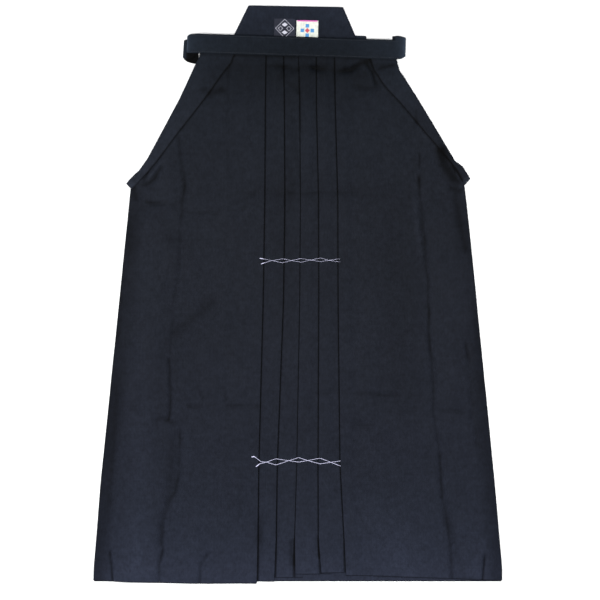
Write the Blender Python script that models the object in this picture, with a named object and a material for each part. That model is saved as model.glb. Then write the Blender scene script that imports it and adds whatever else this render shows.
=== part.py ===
"""Hakama trousers laid flat on a surface, front side up.

Frame: +X towards the wearer's left, +Y towards the waist, +Z up from the surface that the back rests on.
The origin is the middle of the garment's outline, on that surface. Sizes below are in millimetres, and
metres() turns them into Blender's metres. Heights named y run from -533 at the hem to +533 at the top of
the back board.

Each front panel is one wall of cloth that zigzags across the garment. At each pleat it runs over itself
three deep: the outer strip on top, the return below it, and the next strip at the bottom.
"""

import math
from typing import NamedTuple

import bmesh
import bpy

# Cloth
CLOTH = 1.0  # thickness of a wall of cloth
GAP = 0.3  # clearance between pieces that touch
PITCH = CLOTH + GAP  # from one layer to the next
FOLD_RADIUS = PITCH / 2  # middle line of the cloth where it turns back on itself
BOTTOM_LAYER = CLOTH + GAP + CLOTH / 2  # middle of the lowest front layer, over the back panel

# Pleats
PLEAT_RUN = 18.0  # length over which a strip climbs onto the pleat beside it
PAST_FOLD = 2.0  # how far a strip stays low after it comes out from under a fold
CENTRE_UNDERLAP = 14.0  # how far the right panel reaches under the centre fold

# Looseness and creases of the wide outer strips
CROWN = 1.3  # how far a wide strip stands off the back panel
CREASE_DEPTH = 1.0
CREASE_HALF = 13.0
EDGE_ROLL = 5.0
EDGE_INSET = 3.0  # a front panel's own edge, inside the side fold that covers it
BACK_INSET = 0.5  # a back panel's side edge, inside the front panel's
SLIT_END = 198.0  # height at which the side slits begin
INSET_FADE = 40.0  # height above the slit's end over which a panel's edge moves in under the side fold
CROWN_FADE = 60.0  # height below the slit's end over which the crown grows
BACK_STATIONS = (0, 0.35, 0.7, 1)  # shares of a back panel's width that have a point
SIDE_FOLD_RETURN = 0.35  # where a side fold's return ends, as a share of its width from the outer edge

# Waist
WAIST_LIFT = 3.4  # the front panels climb this much to reach the band
LIFT_START, LIFT_END = 385.0, 445.0
BAND_LENGTH = 392.0
BAND_WIDTH = 36.0
BAND_MIDDLE = (-3.0, 456.6)
BAND_SLOPE = -0.0317  # the band lies a little lower at the wearer's left
BAND_THICK = 1.6
BAND_BASE = 8.6
BAND_TUCK = 2.5  # how far the front panels reach under the band
BAND_STEPS = 8

# Straps
STRAP_THICK = 1.2
STRAP_INSET = 3.0  # hidden runs of a front strap stay clear of the panels' top edges
STRAP_PITCH = STRAP_THICK + GAP
STRAP_RUNS_BASE = 5.6
STRAP_HIDDEN_END = 8.0  # where the hidden runs turn, beside the centre
STRAP_LAST_END = 190.0
STRAP_OVERHANG = 3.8  # how far a strap's turn stands out past the band

# Back board
BOARD_THICK = 4.5
BOARD_BEVEL = 1.0
BOARD_CORNERS = ((-133.0, 447.0), (120.5, 444.5), (83.7, 530.0), (-90.7, 533.1))

# Labels on the inner face of the back board
LABEL_THICK = 0.5
LABEL_TILT = math.radians(-1.0)
LABEL_BASE = BOARD_THICK + GAP


class SideEdge(NamedTuple):
    """How far the side edges lie from the middle at one height."""

    y: float
    right: float
    left: float


class FoldLine(NamedTuple):
    """Where the five pleat folds lie at one height, and how deep their returns are."""

    y: float
    first: float
    second: float
    third: float
    fourth: float
    fifth: float
    depth: float


class CreaseLine(NamedTuple):
    """Where the long pressed crease of each wide strip lies at one height, from the middle."""

    y: float
    right: float
    left: float


class Hem(NamedTuple):
    """Height of the hem at one distance across the garment."""

    x: float
    y: float


class SideFoldLine(NamedTuple):
    """Where the inner line of each side fold lies at one height, from the middle."""

    y: float
    right: float
    left: float


class TabStation(NamedTuple):
    """One station of a side fold's tab: how far out its outer edge and inner fold are, and their heights."""

    outer: float
    outer_y: float
    inner: float
    inner_y: float


class StrapPoint(NamedTuple):
    """One point along a back strap: how far out from the middle it is, and its lower and upper edge."""

    out: float
    lower: float
    upper: float


class Label(NamedTuple):
    """Where a sewn-on label lies, before it is tilted."""

    left: float
    right: float
    lower: float
    upper: float


class Leg(NamedTuple):
    """What the two legs differ in. facing is +1 where the pleats' folds face +X."""

    name: str
    facing: int
    folds: tuple
    hem: tuple
    strip_hems: tuple
    reaches_under: str
    tab: tuple


SIDE_EDGES = (
    SideEdge(y=450, right=176, left=180),
    SideEdge(y=413, right=193, left=188),
    SideEdge(y=360, right=218, left=222),
    SideEdge(y=300, right=250, left=258),
    SideEdge(y=250, right=277, left=288),
    SideEdge(y=222, right=297, left=301),
    SideEdge(y=198, right=308, left=308),
    SideEdge(y=137, right=314, left=315),
    SideEdge(y=-10, right=329, left=330),
    SideEdge(y=-342, right=363, left=363),
    SideEdge(y=-505, right=376, left=377),
    SideEdge(y=-540, right=377, left=377),
)

FOLD_LINES = (
    FoldLine(y=450, first=-59, second=-27, third=2, fourth=35.5, fifth=69, depth=15),
    FoldLine(y=359, first=-60.5, second=-25.5, third=4.5, fourth=35.5, fifth=70, depth=14),
    FoldLine(y=174, first=-61.5, second=-24.5, third=6, fourth=39.5, fifth=75, depth=14),
    FoldLine(y=-10, first=-64.5, second=-27, third=4.5, fourth=40, fifth=75.5, depth=15),
    FoldLine(y=-314, first=-72.5, second=-38.5, third=-1, fourth=38.5, fifth=79, depth=16),
    FoldLine(y=-453, first=-74, second=-40.5, third=-5, fourth=39, fifth=86.5, depth=17),
    FoldLine(y=-540, first=-76, second=-44, third=-4, fourth=44.5, fifth=90, depth=18),
)

CREASE_LINES = (
    CreaseLine(y=450, right=140, left=150),
    CreaseLine(y=344, right=200, left=200),
    CreaseLine(y=211, right=210, left=224),
    CreaseLine(y=42, right=220, left=237),
    CreaseLine(y=-143, right=234, left=252),
    CreaseLine(y=-342, right=226, left=266),
    CreaseLine(y=-540, right=256, left=289),
)

# Hems of the wide strips from the side seam inwards, and of the narrow strips between two folds.
RIGHT_HEM = (Hem(-377, -527), Hem(-311, -530.5), Hem(-190, -533.1), Hem(-76, -532.8))
LEFT_HEM = (Hem(90, -518), Hem(160, -519.5), Hem(262, -523.5), Hem(377, -527))
RIGHT_STRIP_HEMS = (-529.0, -522.0)
LEFT_STRIP_HEMS = (-513.0, -515.5, -515.5)
BACK_HEM = -529.0

SIDE_FOLD_LINES = (
    SideFoldLine(y=450, right=114, left=123),
    SideFoldLine(y=425, right=129.5, left=140),
    SideFoldLine(y=360, right=172.5, left=185),
    SideFoldLine(y=300, right=220, left=235),
    SideFoldLine(y=250, right=258, left=277),
)
RIGHT_TAB = (
    TabStation(outer=299, outer_y=223, inner=279, inner_y=221),
    TabStation(outer=316, outer_y=204, inner=306, inner_y=191),
)
LEFT_TAB = (
    TabStation(outer=301, outer_y=236, inner=288, inner_y=228),
    TabStation(outer=318, outer_y=213, inner=308, inner_y=200),
)

# Each back strap leaves the board's side, turns under at its outermost point and comes part of the way back.
# The left one is widest where it is sewn to the board.
RIGHT_STRAP_OUT = (
    StrapPoint(out=172, lower=439.5, upper=474.5),
    StrapPoint(out=211, lower=432, upper=469),
)
RIGHT_STRAP_BACK = StrapPoint(out=165, lower=420, upper=457)
LEFT_STRAP_OUT = (
    StrapPoint(out=126, lower=444.4, upper=478.8),
    StrapPoint(out=128, lower=444.2, upper=467),
    StrapPoint(out=174, lower=440.2, upper=467),
    StrapPoint(out=199, lower=438, upper=475),
)
LEFT_STRAP_BACK = StrapPoint(out=174, lower=440, upper=477.5)
RIGHT_STRAP_ROOT = (447.0, 480.0)  # lower and upper edge where a strap meets the board
LEFT_STRAP_ROOT = (444.8, 479.0)

DARK_LABEL = Label(left=-43.3, right=-4.5, lower=469.5, upper=508.2)
PALE_LABEL = Label(left=-2.3, right=37.7, lower=466, upper=505)

RIGHT_LEG = Leg("right", 1, ("first", "second"), RIGHT_HEM, RIGHT_STRIP_HEMS, "third", RIGHT_TAB)
LEFT_LEG = Leg("left", -1, ("fifth", "fourth", "third"), LEFT_HEM, LEFT_STRIP_HEMS, "", LEFT_TAB)

# Heights at which a front or back panel has a section, from below the band to above the hem.
SECTION_HEIGHTS = (425, 400, 360, 300, 250, 222, 198, 137, 60, -10, -120, -230, -342, -450, -505)

NAVY = (0.016, 0.021, 0.034)
NAVY_DARK = (0.012, 0.016, 0.027)
CREAM = (0.78, 0.74, 0.66)


def clear_scene():
    for leftover in list(bpy.data.objects):
        bpy.data.objects.remove(leftover, do_unlink=True)


def metres(points):
    return [(x / 1000, y / 1000, z / 1000) for x, y, z in points]


def between(rows, key, value, column):
    """The column's value in a table, read between the two rows whose key lies on either side of a value."""
    ordered = sorted(rows, key=lambda row: getattr(row, key))
    value = min(max(value, getattr(ordered[0], key)), getattr(ordered[-1], key))
    for low, high in zip(ordered, ordered[1:]):
        low_key, high_key = getattr(low, key), getattr(high, key)
        if value <= high_key:
            share = (value - low_key) / (high_key - low_key)
            return getattr(low, column) * (1 - share) + getattr(high, column) * share
    return getattr(ordered[-1], column)


def eased(share):
    share = min(max(share, 0.0), 1.0)
    return share * share * (3 - 2 * share)


def lift(y):
    """How far the front panels have climbed towards the band at this height."""
    return WAIST_LIFT * eased((y - LIFT_START) / (LIFT_END - LIFT_START))


def layer(number, y):
    """Height of the middle of a front layer, counted from 0 at the bottom of a pleat."""
    return BOTTOM_LAYER + number * PITCH + lift(y)


def band_y(x, across):
    """Height on the band's face, with across from 0 at its lower edge to its width at its upper edge."""
    return BAND_MIDDLE[1] + BAND_SLOPE * (x - BAND_MIDDLE[0]) - BAND_WIDTH / 2 + across


def board_lower_edge(x):
    (x0, y0), (x1, y1) = BOARD_CORNERS[:2]
    return y0 + (y1 - y0) * (x - x0) / (x1 - x0)


def board_side(side, y):
    """Distance from the middle to the board's slanted side, at the wearer's right (+1) or left (-1)."""
    (x0, y0), (x1, y1) = (BOARD_CORNERS[0], BOARD_CORNERS[3]) if side > 0 else BOARD_CORNERS[1:3]
    return abs(x0 + (x1 - x0) * (y - y0) / (y1 - y0))


def turn(centre, top, bottom, facing, steps=3):
    """Points of a half circle where cloth turns back, from its upper layer to its lower one."""
    middle, radius = (top + bottom) / 2, (top - bottom) / 2
    angles = [math.pi / 2 - math.pi * step / steps for step in range(steps + 1)]
    return [(centre + facing * radius * math.cos(a), middle + radius * math.sin(a)) for a in angles]


def thickened(line, thickness):
    """Closed outline of a wall: a middle line of (across, z) points, moved up, then moved down and back."""
    above, below = [], []
    for i, (across, z) in enumerate(line):
        before, after = line[max(i - 1, 0)], line[min(i + 1, len(line) - 1)]
        normals = []
        for start, end in ((before, (across, z)), ((across, z), after)):
            run, rise = end[0] - start[0], end[1] - start[1]
            length = math.hypot(run, rise)
            if length > 0:
                normals.append((-rise / length, run / length))
        nx = sum(n[0] for n in normals) / len(normals)
        nz = sum(n[1] for n in normals) / len(normals)
        mitre = thickness / 2 / (nx * nx + nz * nz)
        above.append((across + nx * mitre, z + nz * mitre))
        below.append((across - nx * mitre, z - nz * mitre))
    return above + below[::-1]


def there_and_back(values):
    once = list(values)
    return once + once[::-1]


def cloth_material(name, colour, roughness=0.78):
    material = bpy.data.materials.new(name)
    material.use_nodes = True
    shader = material.node_tree.nodes["Principled BSDF"]
    shader.inputs["Base Color"].default_value = (*colour, 1)
    shader.inputs["Roughness"].default_value = roughness
    shader.inputs["Metallic"].default_value = 0
    return material


def finished(name, bm, colour):
    """Makes a named object of a closed bmesh, with its normals outwards and its own material."""
    bmesh.ops.recalc_face_normals(bm, faces=bm.faces)
    mesh = bpy.data.meshes.new(name)
    bm.to_mesh(mesh)
    bm.free()
    mesh.shade_smooth()
    mesh.set_sharp_from_angle(angle=math.radians(50))
    mesh.materials.append(cloth_material(name + "_finish", colour))
    obj = bpy.data.objects.new(name, mesh)
    bpy.context.collection.objects.link(obj)
    return obj


def wall(name, rings, colour):
    """A closed wall through rings of points. Each ring runs along the upper face and back along the lower."""
    bm = bmesh.new()
    loops = [[bm.verts.new(point) for point in metres(ring)] for ring in rings]
    count = len(loops[0])
    for here, there in zip(loops, loops[1:]):
        for i in range(count):
            j = (i + 1) % count
            bm.faces.new((here[i], here[j], there[j], there[i]))
    for end in (loops[0], loops[-1]):
        for i in range(count // 2 - 1):
            bm.faces.new((end[i], end[i + 1], end[count - 2 - i], end[count - 1 - i]))
    return finished(name, bm, colour)


def wide_strip(leg, y, climb_start):
    """Middle line of a front panel's outer strip, with its crown and pressed crease below the side slit."""
    edge = -between(SIDE_EDGES, "y", y, leg.name) + EDGE_INSET * eased((y - SLIT_END) / INSET_FADE)
    crease = max(-between(CREASE_LINES, "y", y, leg.name), edge + EDGE_ROLL + CREASE_HALF + 1)
    inner = crease + CREASE_HALF
    places = (edge, edge + EDGE_ROLL, crease - CREASE_HALF, crease, inner)
    places += ((inner + climb_start) / 2, climb_start)
    looseness = eased((SLIT_END - y) / CROWN_FADE)
    line = []
    for s in places:
        share = (s - edge) / (climb_start - edge)
        crown = CROWN * math.sqrt(max(math.sin(math.pi * share), 0.0))
        dip = CREASE_DEPTH if s == crease else 0.0
        line.append((s, layer(0, y) + max(crown - dip, 0.0) * looseness))
    return line


def pleated_line(leg, y):
    """Middle line of a front panel at one height, as (s, z, strip) points.

    s runs across the garment towards the centre, so that every fold faces +s. strip counts the strips from
    the side seam. A leg that reaches under the other ends with its last strip, and the other with a return.
    """
    top, middle, bottom = layer(2, y), layer(1, y), layer(0, y)
    folds = [leg.facing * between(FOLD_LINES, "y", y, fold) for fold in leg.folds]
    depth = between(FOLD_LINES, "y", y, "depth")
    line = [(s, z, 0) for s, z in wide_strip(leg, y, folds[0] - depth - PLEAT_RUN)]
    for number, fold in enumerate(folds):
        line.append((fold - depth, top, number))
        line += [(s, z, number) for s, z in turn(fold - FOLD_RADIUS, top, middle, 1)]
        if fold == folds[-1] and not leg.reaches_under:
            line.append((fold - depth, middle, number))
            return line
        back = turn(fold - depth + FOLD_RADIUS, middle, bottom, -1)
        line += [(s, z, number + 1) for s, z in back]
        line.append((fold + PAST_FOLD, bottom, number + 1))
    inner_end = between(FOLD_LINES, "y", y, leg.reaches_under) + CENTRE_UNDERLAP
    line.append((inner_end, bottom, len(folds)))
    return line


def front_panel(leg, colour):
    """A front leg, from its top edge tucked under the band down to its hem."""
    rings = []
    for y in (LIFT_END, *SECTION_HEIGHTS, BACK_HEM):
        line = pleated_line(leg, y)
        outline = thickened([(s, z) for s, z, _ in line], CLOTH)
        strips = there_and_back(strip for _, _, strip in line)
        ring = []
        for (s, z), strip in zip(outline, strips):
            x = leg.facing * s
            height = y
            if y == LIFT_END:
                height = band_y(x, BAND_TUCK)
            elif y == BACK_HEM:
                height = leg.strip_hems[strip - 1] if strip else between(leg.hem, "x", x, "y")
            ring.append((x, height, z))
        rings.append(ring)
    return wall("front_leg_" + leg.name, rings, colour)


def back_panel(leg, colour):
    """A back leg: a plain panel that lies on the surface, from its side edge to the centre seam."""
    board_corner = abs(BOARD_CORNERS[0 if leg.facing > 0 else 1][0])
    slit_end = between(SIDE_EDGES, "y", SLIT_END, leg.name)
    rings = []
    for y in (LIFT_END, *SECTION_HEIGHTS, BACK_HEM):
        edge = between(SIDE_EDGES, "y", y, leg.name) - BACK_INSET
        if y > SLIT_END:
            share = (y - SLIT_END) / (LIFT_END - SLIT_END)
            edge = slit_end - BACK_INSET + (board_corner - slit_end) * share
        line = [(edge + (GAP / 2 - edge) * share, CLOTH / 2) for share in BACK_STATIONS]
        ring = []
        for s, z in thickened(line, CLOTH):
            x = -leg.facing * s
            height = board_lower_edge(x) - GAP if y == LIFT_END else y
            ring.append((x, height, z))
        rings.append(ring)
    return wall("back_leg_" + leg.name, rings, colour)


def folded_over(width, y):
    """Closed outline across a side fold: its top layer, the turn at its inner line and part of the return."""
    top, under = layer(2, y), layer(1, y)
    line = [(0, top), (width / 2, top)]
    line += turn(width - FOLD_RADIUS, top, under, 1)
    line.append((width * SIDE_FOLD_RETURN, under))
    return thickened(line, CLOTH)


def side_fold(leg, colour):
    """The tapering pleat beside the side slit, whose lower end is a tab."""
    rings = []
    for y in (LIFT_END, *[height for height in SECTION_HEIGHTS if height > leg.tab[0].outer_y]):
        outer = -between(SIDE_EDGES, "y", y, leg.name)
        inner = -between(SIDE_FOLD_LINES, "y", y, leg.name)
        ring = []
        for across, z in folded_over(inner - outer, y):
            x = leg.facing * (outer + across)
            ring.append((x, band_y(x, BAND_TUCK) if y == LIFT_END else y, z))
        rings.append(ring)
    for station in leg.tab:
        run, drop = station.outer - station.inner, station.inner_y - station.outer_y
        width = math.hypot(run, drop)
        ring = []
        for across, z in folded_over(width, station.outer_y):
            share = across / width
            x = -leg.facing * (station.outer - run * share)
            ring.append((x, station.outer_y + drop * share, z))
        rings.append(ring)
    return wall("side_fold_" + leg.name, rings, colour)


def front_band(colour):
    """The band that the front panels are sewn to, in front of the back board."""
    middle_z = BAND_BASE + BAND_THICK / 2
    start = BAND_MIDDLE[0] - BAND_LENGTH / 2
    line = [(start + BAND_LENGTH * step / BAND_STEPS, middle_z) for step in range(BAND_STEPS + 1)]
    outline = thickened(line, BAND_THICK)
    rings = [[(x, band_y(x, across), z) for x, z in outline] for across in (0, BAND_WIDTH)]
    return wall("front_band", rings, colour)


def front_strap(name, side, colour):
    """The end of the front band that turns under it and lies folded in two runs behind it."""
    end = BAND_LENGTH / 2 - side * BAND_MIDDLE[0]
    out = end + STRAP_OVERHANG
    first = BAND_BASE + BAND_THICK - STRAP_THICK / 2
    third = STRAP_RUNS_BASE + STRAP_THICK / 2
    second = third + STRAP_PITCH
    line = [(end + GAP, first)]
    line += turn(out - (first - second) / 2, first, second, 1)
    line.append(((out + STRAP_HIDDEN_END) / 2, second))
    line += turn(STRAP_HIDDEN_END + STRAP_PITCH / 2, second, third, -1)
    line.append((STRAP_LAST_END, third))
    outline = thickened(line, STRAP_THICK)
    rings = []
    for across in (STRAP_INSET, BAND_WIDTH):
        rings.append([(-side * s, band_y(-side * s, across), z) for s, z in outline])
    return wall(name, rings, colour)


def back_strap(name, side, root, run_out, run_back, colour):
    """A strap that leaves the board's lower corner, turns under at its end and comes part of the way back."""
    top, under = STRAP_THICK * 1.5 + GAP, STRAP_THICK / 2
    *straight, end = run_out
    lines = []
    for edge, root_y in zip(("lower", "upper"), root):
        end_y = getattr(end, edge)
        line = [(board_side(side, root_y) + GAP, root_y, top)]
        line += [(point.out, getattr(point, edge), top) for point in straight]
        line += [(s, end_y, z) for s, z in turn(end.out - STRAP_PITCH / 2, top, under, 1)]
        line.append((run_back.out, getattr(run_back, edge), under))
        lines.append(line)
    rings = []
    for line in lines:
        outline = thickened([(s, z) for s, _, z in line], STRAP_THICK)
        heights = there_and_back(y for _, y, _ in line)
        rings.append([(-side * s, y, z) for (s, z), y in zip(outline, heights)])
    return wall(name, rings, colour)


def plate(name, corners, base, thickness, bevel, colour):
    """A flat plate on a polygon, with its edges eased."""
    bm = bmesh.new()
    face = bm.faces.new([bm.verts.new(point) for point in metres((x, y, base) for x, y in corners)])
    lifted = bmesh.ops.extrude_face_region(bm, geom=[face])["geom"]
    top = [item for item in lifted if isinstance(item, bmesh.types.BMVert)]
    bmesh.ops.translate(bm, verts=top, vec=(0, 0, thickness / 1000))
    if bevel:
        bmesh.ops.bevel(
            bm, geom=bm.edges[:], offset=bevel / 1000, segments=2, profile=0.5, affect="EDGES", material=-1
        )
    return finished(name, bm, colour)


def label(name, place, colour):
    middle_x, middle_y = (place.left + place.right) / 2, (place.lower + place.upper) / 2
    corners = []
    for x, y in (
        (place.left, place.lower),
        (place.right, place.lower),
        (place.right, place.upper),
        (place.left, place.upper),
    ):
        dx, dy = x - middle_x, y - middle_y
        corners.append((
            middle_x + dx * math.cos(LABEL_TILT) - dy * math.sin(LABEL_TILT),
            middle_y + dx * math.sin(LABEL_TILT) + dy * math.cos(LABEL_TILT),
        ))
    return plate(name, corners, LABEL_BASE, LABEL_THICK, 0, colour)


def build():
    clear_scene()
    for leg in (RIGHT_LEG, LEFT_LEG):
        back_panel(leg, NAVY)
        front_panel(leg, NAVY)
        side_fold(leg, NAVY)
    plate("back_board", BOARD_CORNERS, 0, BOARD_THICK, BOARD_BEVEL, NAVY)
    front_band(NAVY)
    front_strap("front_strap_right", 1, NAVY)
    front_strap("front_strap_left", -1, NAVY)
    back_strap("back_strap_right", 1, RIGHT_STRAP_ROOT, RIGHT_STRAP_OUT, RIGHT_STRAP_BACK, NAVY)
    back_strap("back_strap_left", -1, LEFT_STRAP_ROOT, LEFT_STRAP_OUT, LEFT_STRAP_BACK, NAVY)
    label("label_dark", DARK_LABEL, NAVY_DARK)
    label("label_pale", PALE_LABEL, CREAM)


build()
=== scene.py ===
"""Hakama trousers laid out flat, front side up, with their cloth in thin shells. Tables hold millimetres.

The garment is put together from the surface up: back legs, front legs with their pleats, side folds, back
board and straps, waistband, labels, then the threads. +X is the wearer's left, and +Y points to the waist.
"""

import math
from collections import namedtuple
from functools import lru_cache
from typing import NamedTuple

import bmesh
import bpy
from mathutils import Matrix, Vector, noise
from mathutils.bvhtree import BVHTree


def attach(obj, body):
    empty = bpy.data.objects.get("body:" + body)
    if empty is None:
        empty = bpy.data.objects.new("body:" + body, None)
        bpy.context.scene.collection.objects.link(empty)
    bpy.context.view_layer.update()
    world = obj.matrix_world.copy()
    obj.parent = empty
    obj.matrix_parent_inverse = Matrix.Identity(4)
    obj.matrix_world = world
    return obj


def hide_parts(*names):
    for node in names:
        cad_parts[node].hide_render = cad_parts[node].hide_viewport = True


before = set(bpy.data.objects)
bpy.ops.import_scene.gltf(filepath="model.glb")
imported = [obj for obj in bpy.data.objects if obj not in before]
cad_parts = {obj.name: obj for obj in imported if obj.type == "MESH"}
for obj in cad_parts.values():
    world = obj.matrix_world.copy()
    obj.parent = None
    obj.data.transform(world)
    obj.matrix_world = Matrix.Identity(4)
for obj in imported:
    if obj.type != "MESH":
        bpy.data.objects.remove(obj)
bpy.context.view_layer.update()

# The setting: the garment lies on a broad pale board under soft daylight, seen from straight above. Large
# lights stand over it and low at both sides, so that the long creases and pleats cast faint shadows.
VIEW_SIDE = 1.107  # metres of the surface that the camera takes in
CAMERA_HEIGHT = 4.0
CAMERA_ASIDE = (0.0043, -0.01006)  # from the garment's middle
SURFACE_SIDE = 9.0
SURFACE_DROP = 0.0003  # the board's top lies this far below the cloth
SURFACE_WHITE = (0.86, 0.86, 0.86)
SURFACE_ROUGHNESS = 0.9
SKY_WHITE = (0.96, 0.98, 1.0)
SKY_STRENGTH = 0.3


def rows_of(columns, *rows):
    """A table's rows, with their columns named by a line of words or by a type of row."""
    kind = namedtuple("Row", columns) if isinstance(columns, str) else columns
    return tuple(kind(*row) for row in rows)


LAMPS = rows_of(
    "name place aims_at side watts",
    ("overhead_light", (0, -0.1, 2.3), (0, -0.1, 0), 1.1, 62),
    ("left_light", (-1.9, -0.1, 0.95), (-0.1, 0, 0), 0.7, 26),
    ("right_light", (1.9, 0, 0.95), (0.1, 0, 0), 0.7, 13),
)


def placed(name, data):
    """A new object in the scene."""
    made = bpy.data.objects.new(name, data)
    bpy.context.scene.collection.objects.link(made)
    return made


camera_data = bpy.data.cameras.new("camera")
camera_data.lens = camera_data.sensor_width * CAMERA_HEIGHT / VIEW_SIDE
camera = placed("camera", camera_data)
camera.location = (*CAMERA_ASIDE, CAMERA_HEIGHT)
bpy.context.scene.camera = camera

for lamp in LAMPS:
    light = bpy.data.lights.new(lamp.name, "AREA")
    light.size, light.energy = lamp.side, lamp.watts
    stand = placed(lamp.name, light)
    stand.location = lamp.place
    towards = Vector(lamp.aims_at) - Vector(lamp.place)
    stand.rotation_euler = towards.to_track_quat("-Z", "Y").to_euler()

sky = bpy.data.worlds.new("soft_room")
sky.use_nodes = True
sky_light = sky.node_tree.nodes["Background"].inputs
sky_light["Color"].default_value = (*SKY_WHITE, 1)
sky_light["Strength"].default_value = SKY_STRENGTH
bpy.context.scene.world = sky
bpy.context.scene.view_settings.view_transform = "Standard"

pale_board = bpy.data.materials.new("pale_board")
pale_board.use_nodes = True
board_paint = pale_board.node_tree.nodes["Principled BSDF"].inputs
board_paint["Base Color"].default_value = (*SURFACE_WHITE, 1)
board_paint["Roughness"].default_value = SURFACE_ROUGHNESS
surface_mesh = bpy.data.meshes.new("laying_board")
bm = bmesh.new()
bmesh.ops.create_grid(bm, x_segments=1, y_segments=1, size=SURFACE_SIDE / 2)
bmesh.ops.translate(bm, verts=bm.verts, vec=(0, 0, -SURFACE_DROP))
bm.to_mesh(surface_mesh)
bm.free()
surface_mesh.materials.append(pale_board)
laying_board = placed("laying_board", surface_mesh)

# The back legs: two plain panels of navy cloth, seamed along the centre and hemmed below. They lie flat on
# the surface. Each panel's top edge meets the stiff board, and the side slits part its edges from the front.
SIDES = (("right", 1), ("left", -1))  # each side's facing is 1 where its pleats' folds face +X
CLOTH = 0.6  # thickness of one layer of cloth
SLIT_END = 198.0
WAIST = 445.0
WAIST_BLEND = 405.0  # from here up, rows turn to follow the waistband
HEM = -529.0
HEM_BLEND = -450.0  # from here down, rows turn to follow the hem
HEM_EDGE_PLACES = (0.8, 2.0)
# Shade is painted along each hem's edge, darkest at the edge itself.
HEM_SHADE = 0.8
HEM_SHADE_FADE = 2.2
HEM_DEPTH = 23.0  # the hem is turned up by this much, which makes it thicker
ROW_STEP = 4.5
CENTRE_SEAM_GAP = 0.003
BOARD_SEAM_GAP = 0.4
BOARD_LOWER_EDGE = ((-133.0, 447.0), (120.5, 444.5))
BACK_COLUMNS = 44
BACK_EDGE_INSET = 1.2
BACK_MIDDLE = CLOTH / 2
PAINTED_LINE_WIDTH = 0.75  # how wide the painted dark line is, beside the crease's own half width
WANDER_LENGTH, UNEVEN_LENGTH = 24.0, 32.0
CREASE_UNEVENNESS = 0.37  # for each millimetre that a crease wanders
RIDGE_HIGHLIGHT_LIMIT, DARKEST_CREASE_SHADE = -0.4, 0.85  # limits of a crease's painted shade; below 0 it is a painted highlight on a ridge
SHARP_ANGLE = math.radians(55)
NAVY = (0.0080, 0.0096, 0.0153)
THREADS_PER_METRE = 2100.0
WARP_SLUBS, WEFT_SLUBS = (1100, 9, 1), (11, 900, 1)  # how thick and thin places follow the threads
CRUMPLE_SCALE, CRUMPLE_STRETCH = 38.0, (1, 0.6, 1)
CRUMPLE_DEPTH, WEAVE_DEPTH = 0.0012, 0.00012  # metres
SHADE_DARKENING = 0.94
GARMENT_LENGTH = 1.066  # metres
PAINTED_LIGHT_SCALE = 2.5


class Crease(NamedTuple):
    """A soft trough (depth below 0) or ridge along a line of points, fading out at both ends; shade is
    painted in a trough, a highlight on a ridge.
    """

    points: tuple
    half_width: float
    depth: float
    lean: float = 0.0  # raises the cloth on the line's left side and lowers it on its right
    fade: float = 25.0
    painted_darkness: float = 0.26  # how much shade is painted along the line for each millimetre that it is deep
    wander: float = 3.0  # how far it strays from its points


# How far out the side edges are, and the light painted on the cloth from the hem up to the board, in each
# colour.
SIDE_EDGES = rows_of(
    "y right left",
    (450, 179, 180), (444.5, 179.8, 181.2), (436, 180.8, 183), (425, 187, 185.4), (413, 193, 188),
    (360, 218, 222), (300, 250, 258), (250, 277, 288), (222, 297, 301), (198, 308, 308), (137, 314, 315),
    (-10, 329, 330), (-342, 363, 363), (-505, 376, 377), (-540, 377, 377),
)
LENGTH_PAINTED_LIGHT = rows_of(
    "share red green blue",
    (0, 2.08, 2.08, 2.2), (0.06, 1.48, 1.5, 1.54), (0.15, 1.16, 1.17, 1.17), (0.27, 1.04, 1.03, 1.02),
    (0.42, 0.97, 0.96, 0.91), (0.56, 0.93, 0.92, 0.85), (0.7, 0.9, 0.89, 0.82), (0.85, 0.95, 0.99, 0.91),
    (0.885, 0.9, 0.99, 0.93), (1, 0.97, 1.05, 1),
)
# The dye's unevenness, from broad to fine, and a soft shadow painted at the waist, in metres.
MOTTLINGS = rows_of(
    "scale detail stretch amount",
    (5.5, 3, (1, 1, 1), 0.3), (95, 2, (1, 1, 1), 0.6), (300, 1, (1, 0.55, 1), 0.6),
)
WAIST_SHADOW_Y, WAIST_SHADOW_WIDTH, WAIST_SHADOW_HEIGHT = 0.428, 0.22, 0.083
WAIST_SHADOW_DARKENING = 0.46
BACK_CREASES = rows_of(
    Crease,
    (((-205, 300), (-212, 60), (-228, -250), (-240, -500)), 6, 0.35),
    (((214, 310), (226, 40), (248, -260), (262, -500)), 6, 0.35),
    (((-300, -200), (-90, -196)), 5, 0.3),
    (((60, -190), (290, -202)), 5, 0.3),
    (((-250, 150), (-60, 158)), 5, 0.25),
    (((40, 160), (240, 148)), 5, 0.25),
)


class ClothPoint(NamedTuple):
    """A point in the middle of the cloth. shade is painted shade: 1 where a deep fold hides the cloth from
    light, below 0 a painted highlight.
    """

    x: float
    y: float
    z: float
    shade: float = 0.0


def between(rows, place, column):
    """A column's value at a place, read between the two rows whose first values lie on either side of it."""
    ordered = sorted(rows)
    place = min(max(place, ordered[0][0]), ordered[-1][0])
    for low, high in zip(ordered, ordered[1:]):
        if place <= high[0]:
            share = (place - low[0]) / (high[0] - low[0])
            return getattr(low, column) * (1 - share) + getattr(high, column) * share


def eased(share):
    share = min(max(share, 0.0), 1.0)
    return share * share * (3 - 2 * share)


def soft_wave(x, y, length, height, seed):
    """A gentle unevenness, the same at each run, whose swells are about one length across."""
    return height * noise.noise(Vector((x / length, y / length, seed)))


@lru_cache(maxsize=None)
def crease_box(crease):
    """The lowest and highest x and y that a crease can reach."""
    reach = 3 * crease.half_width + crease.wander
    columns = list(zip(*crease.points))
    return [end(column) + way * reach for column in columns for end, way in ((min, -1), (max, 1))]


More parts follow.
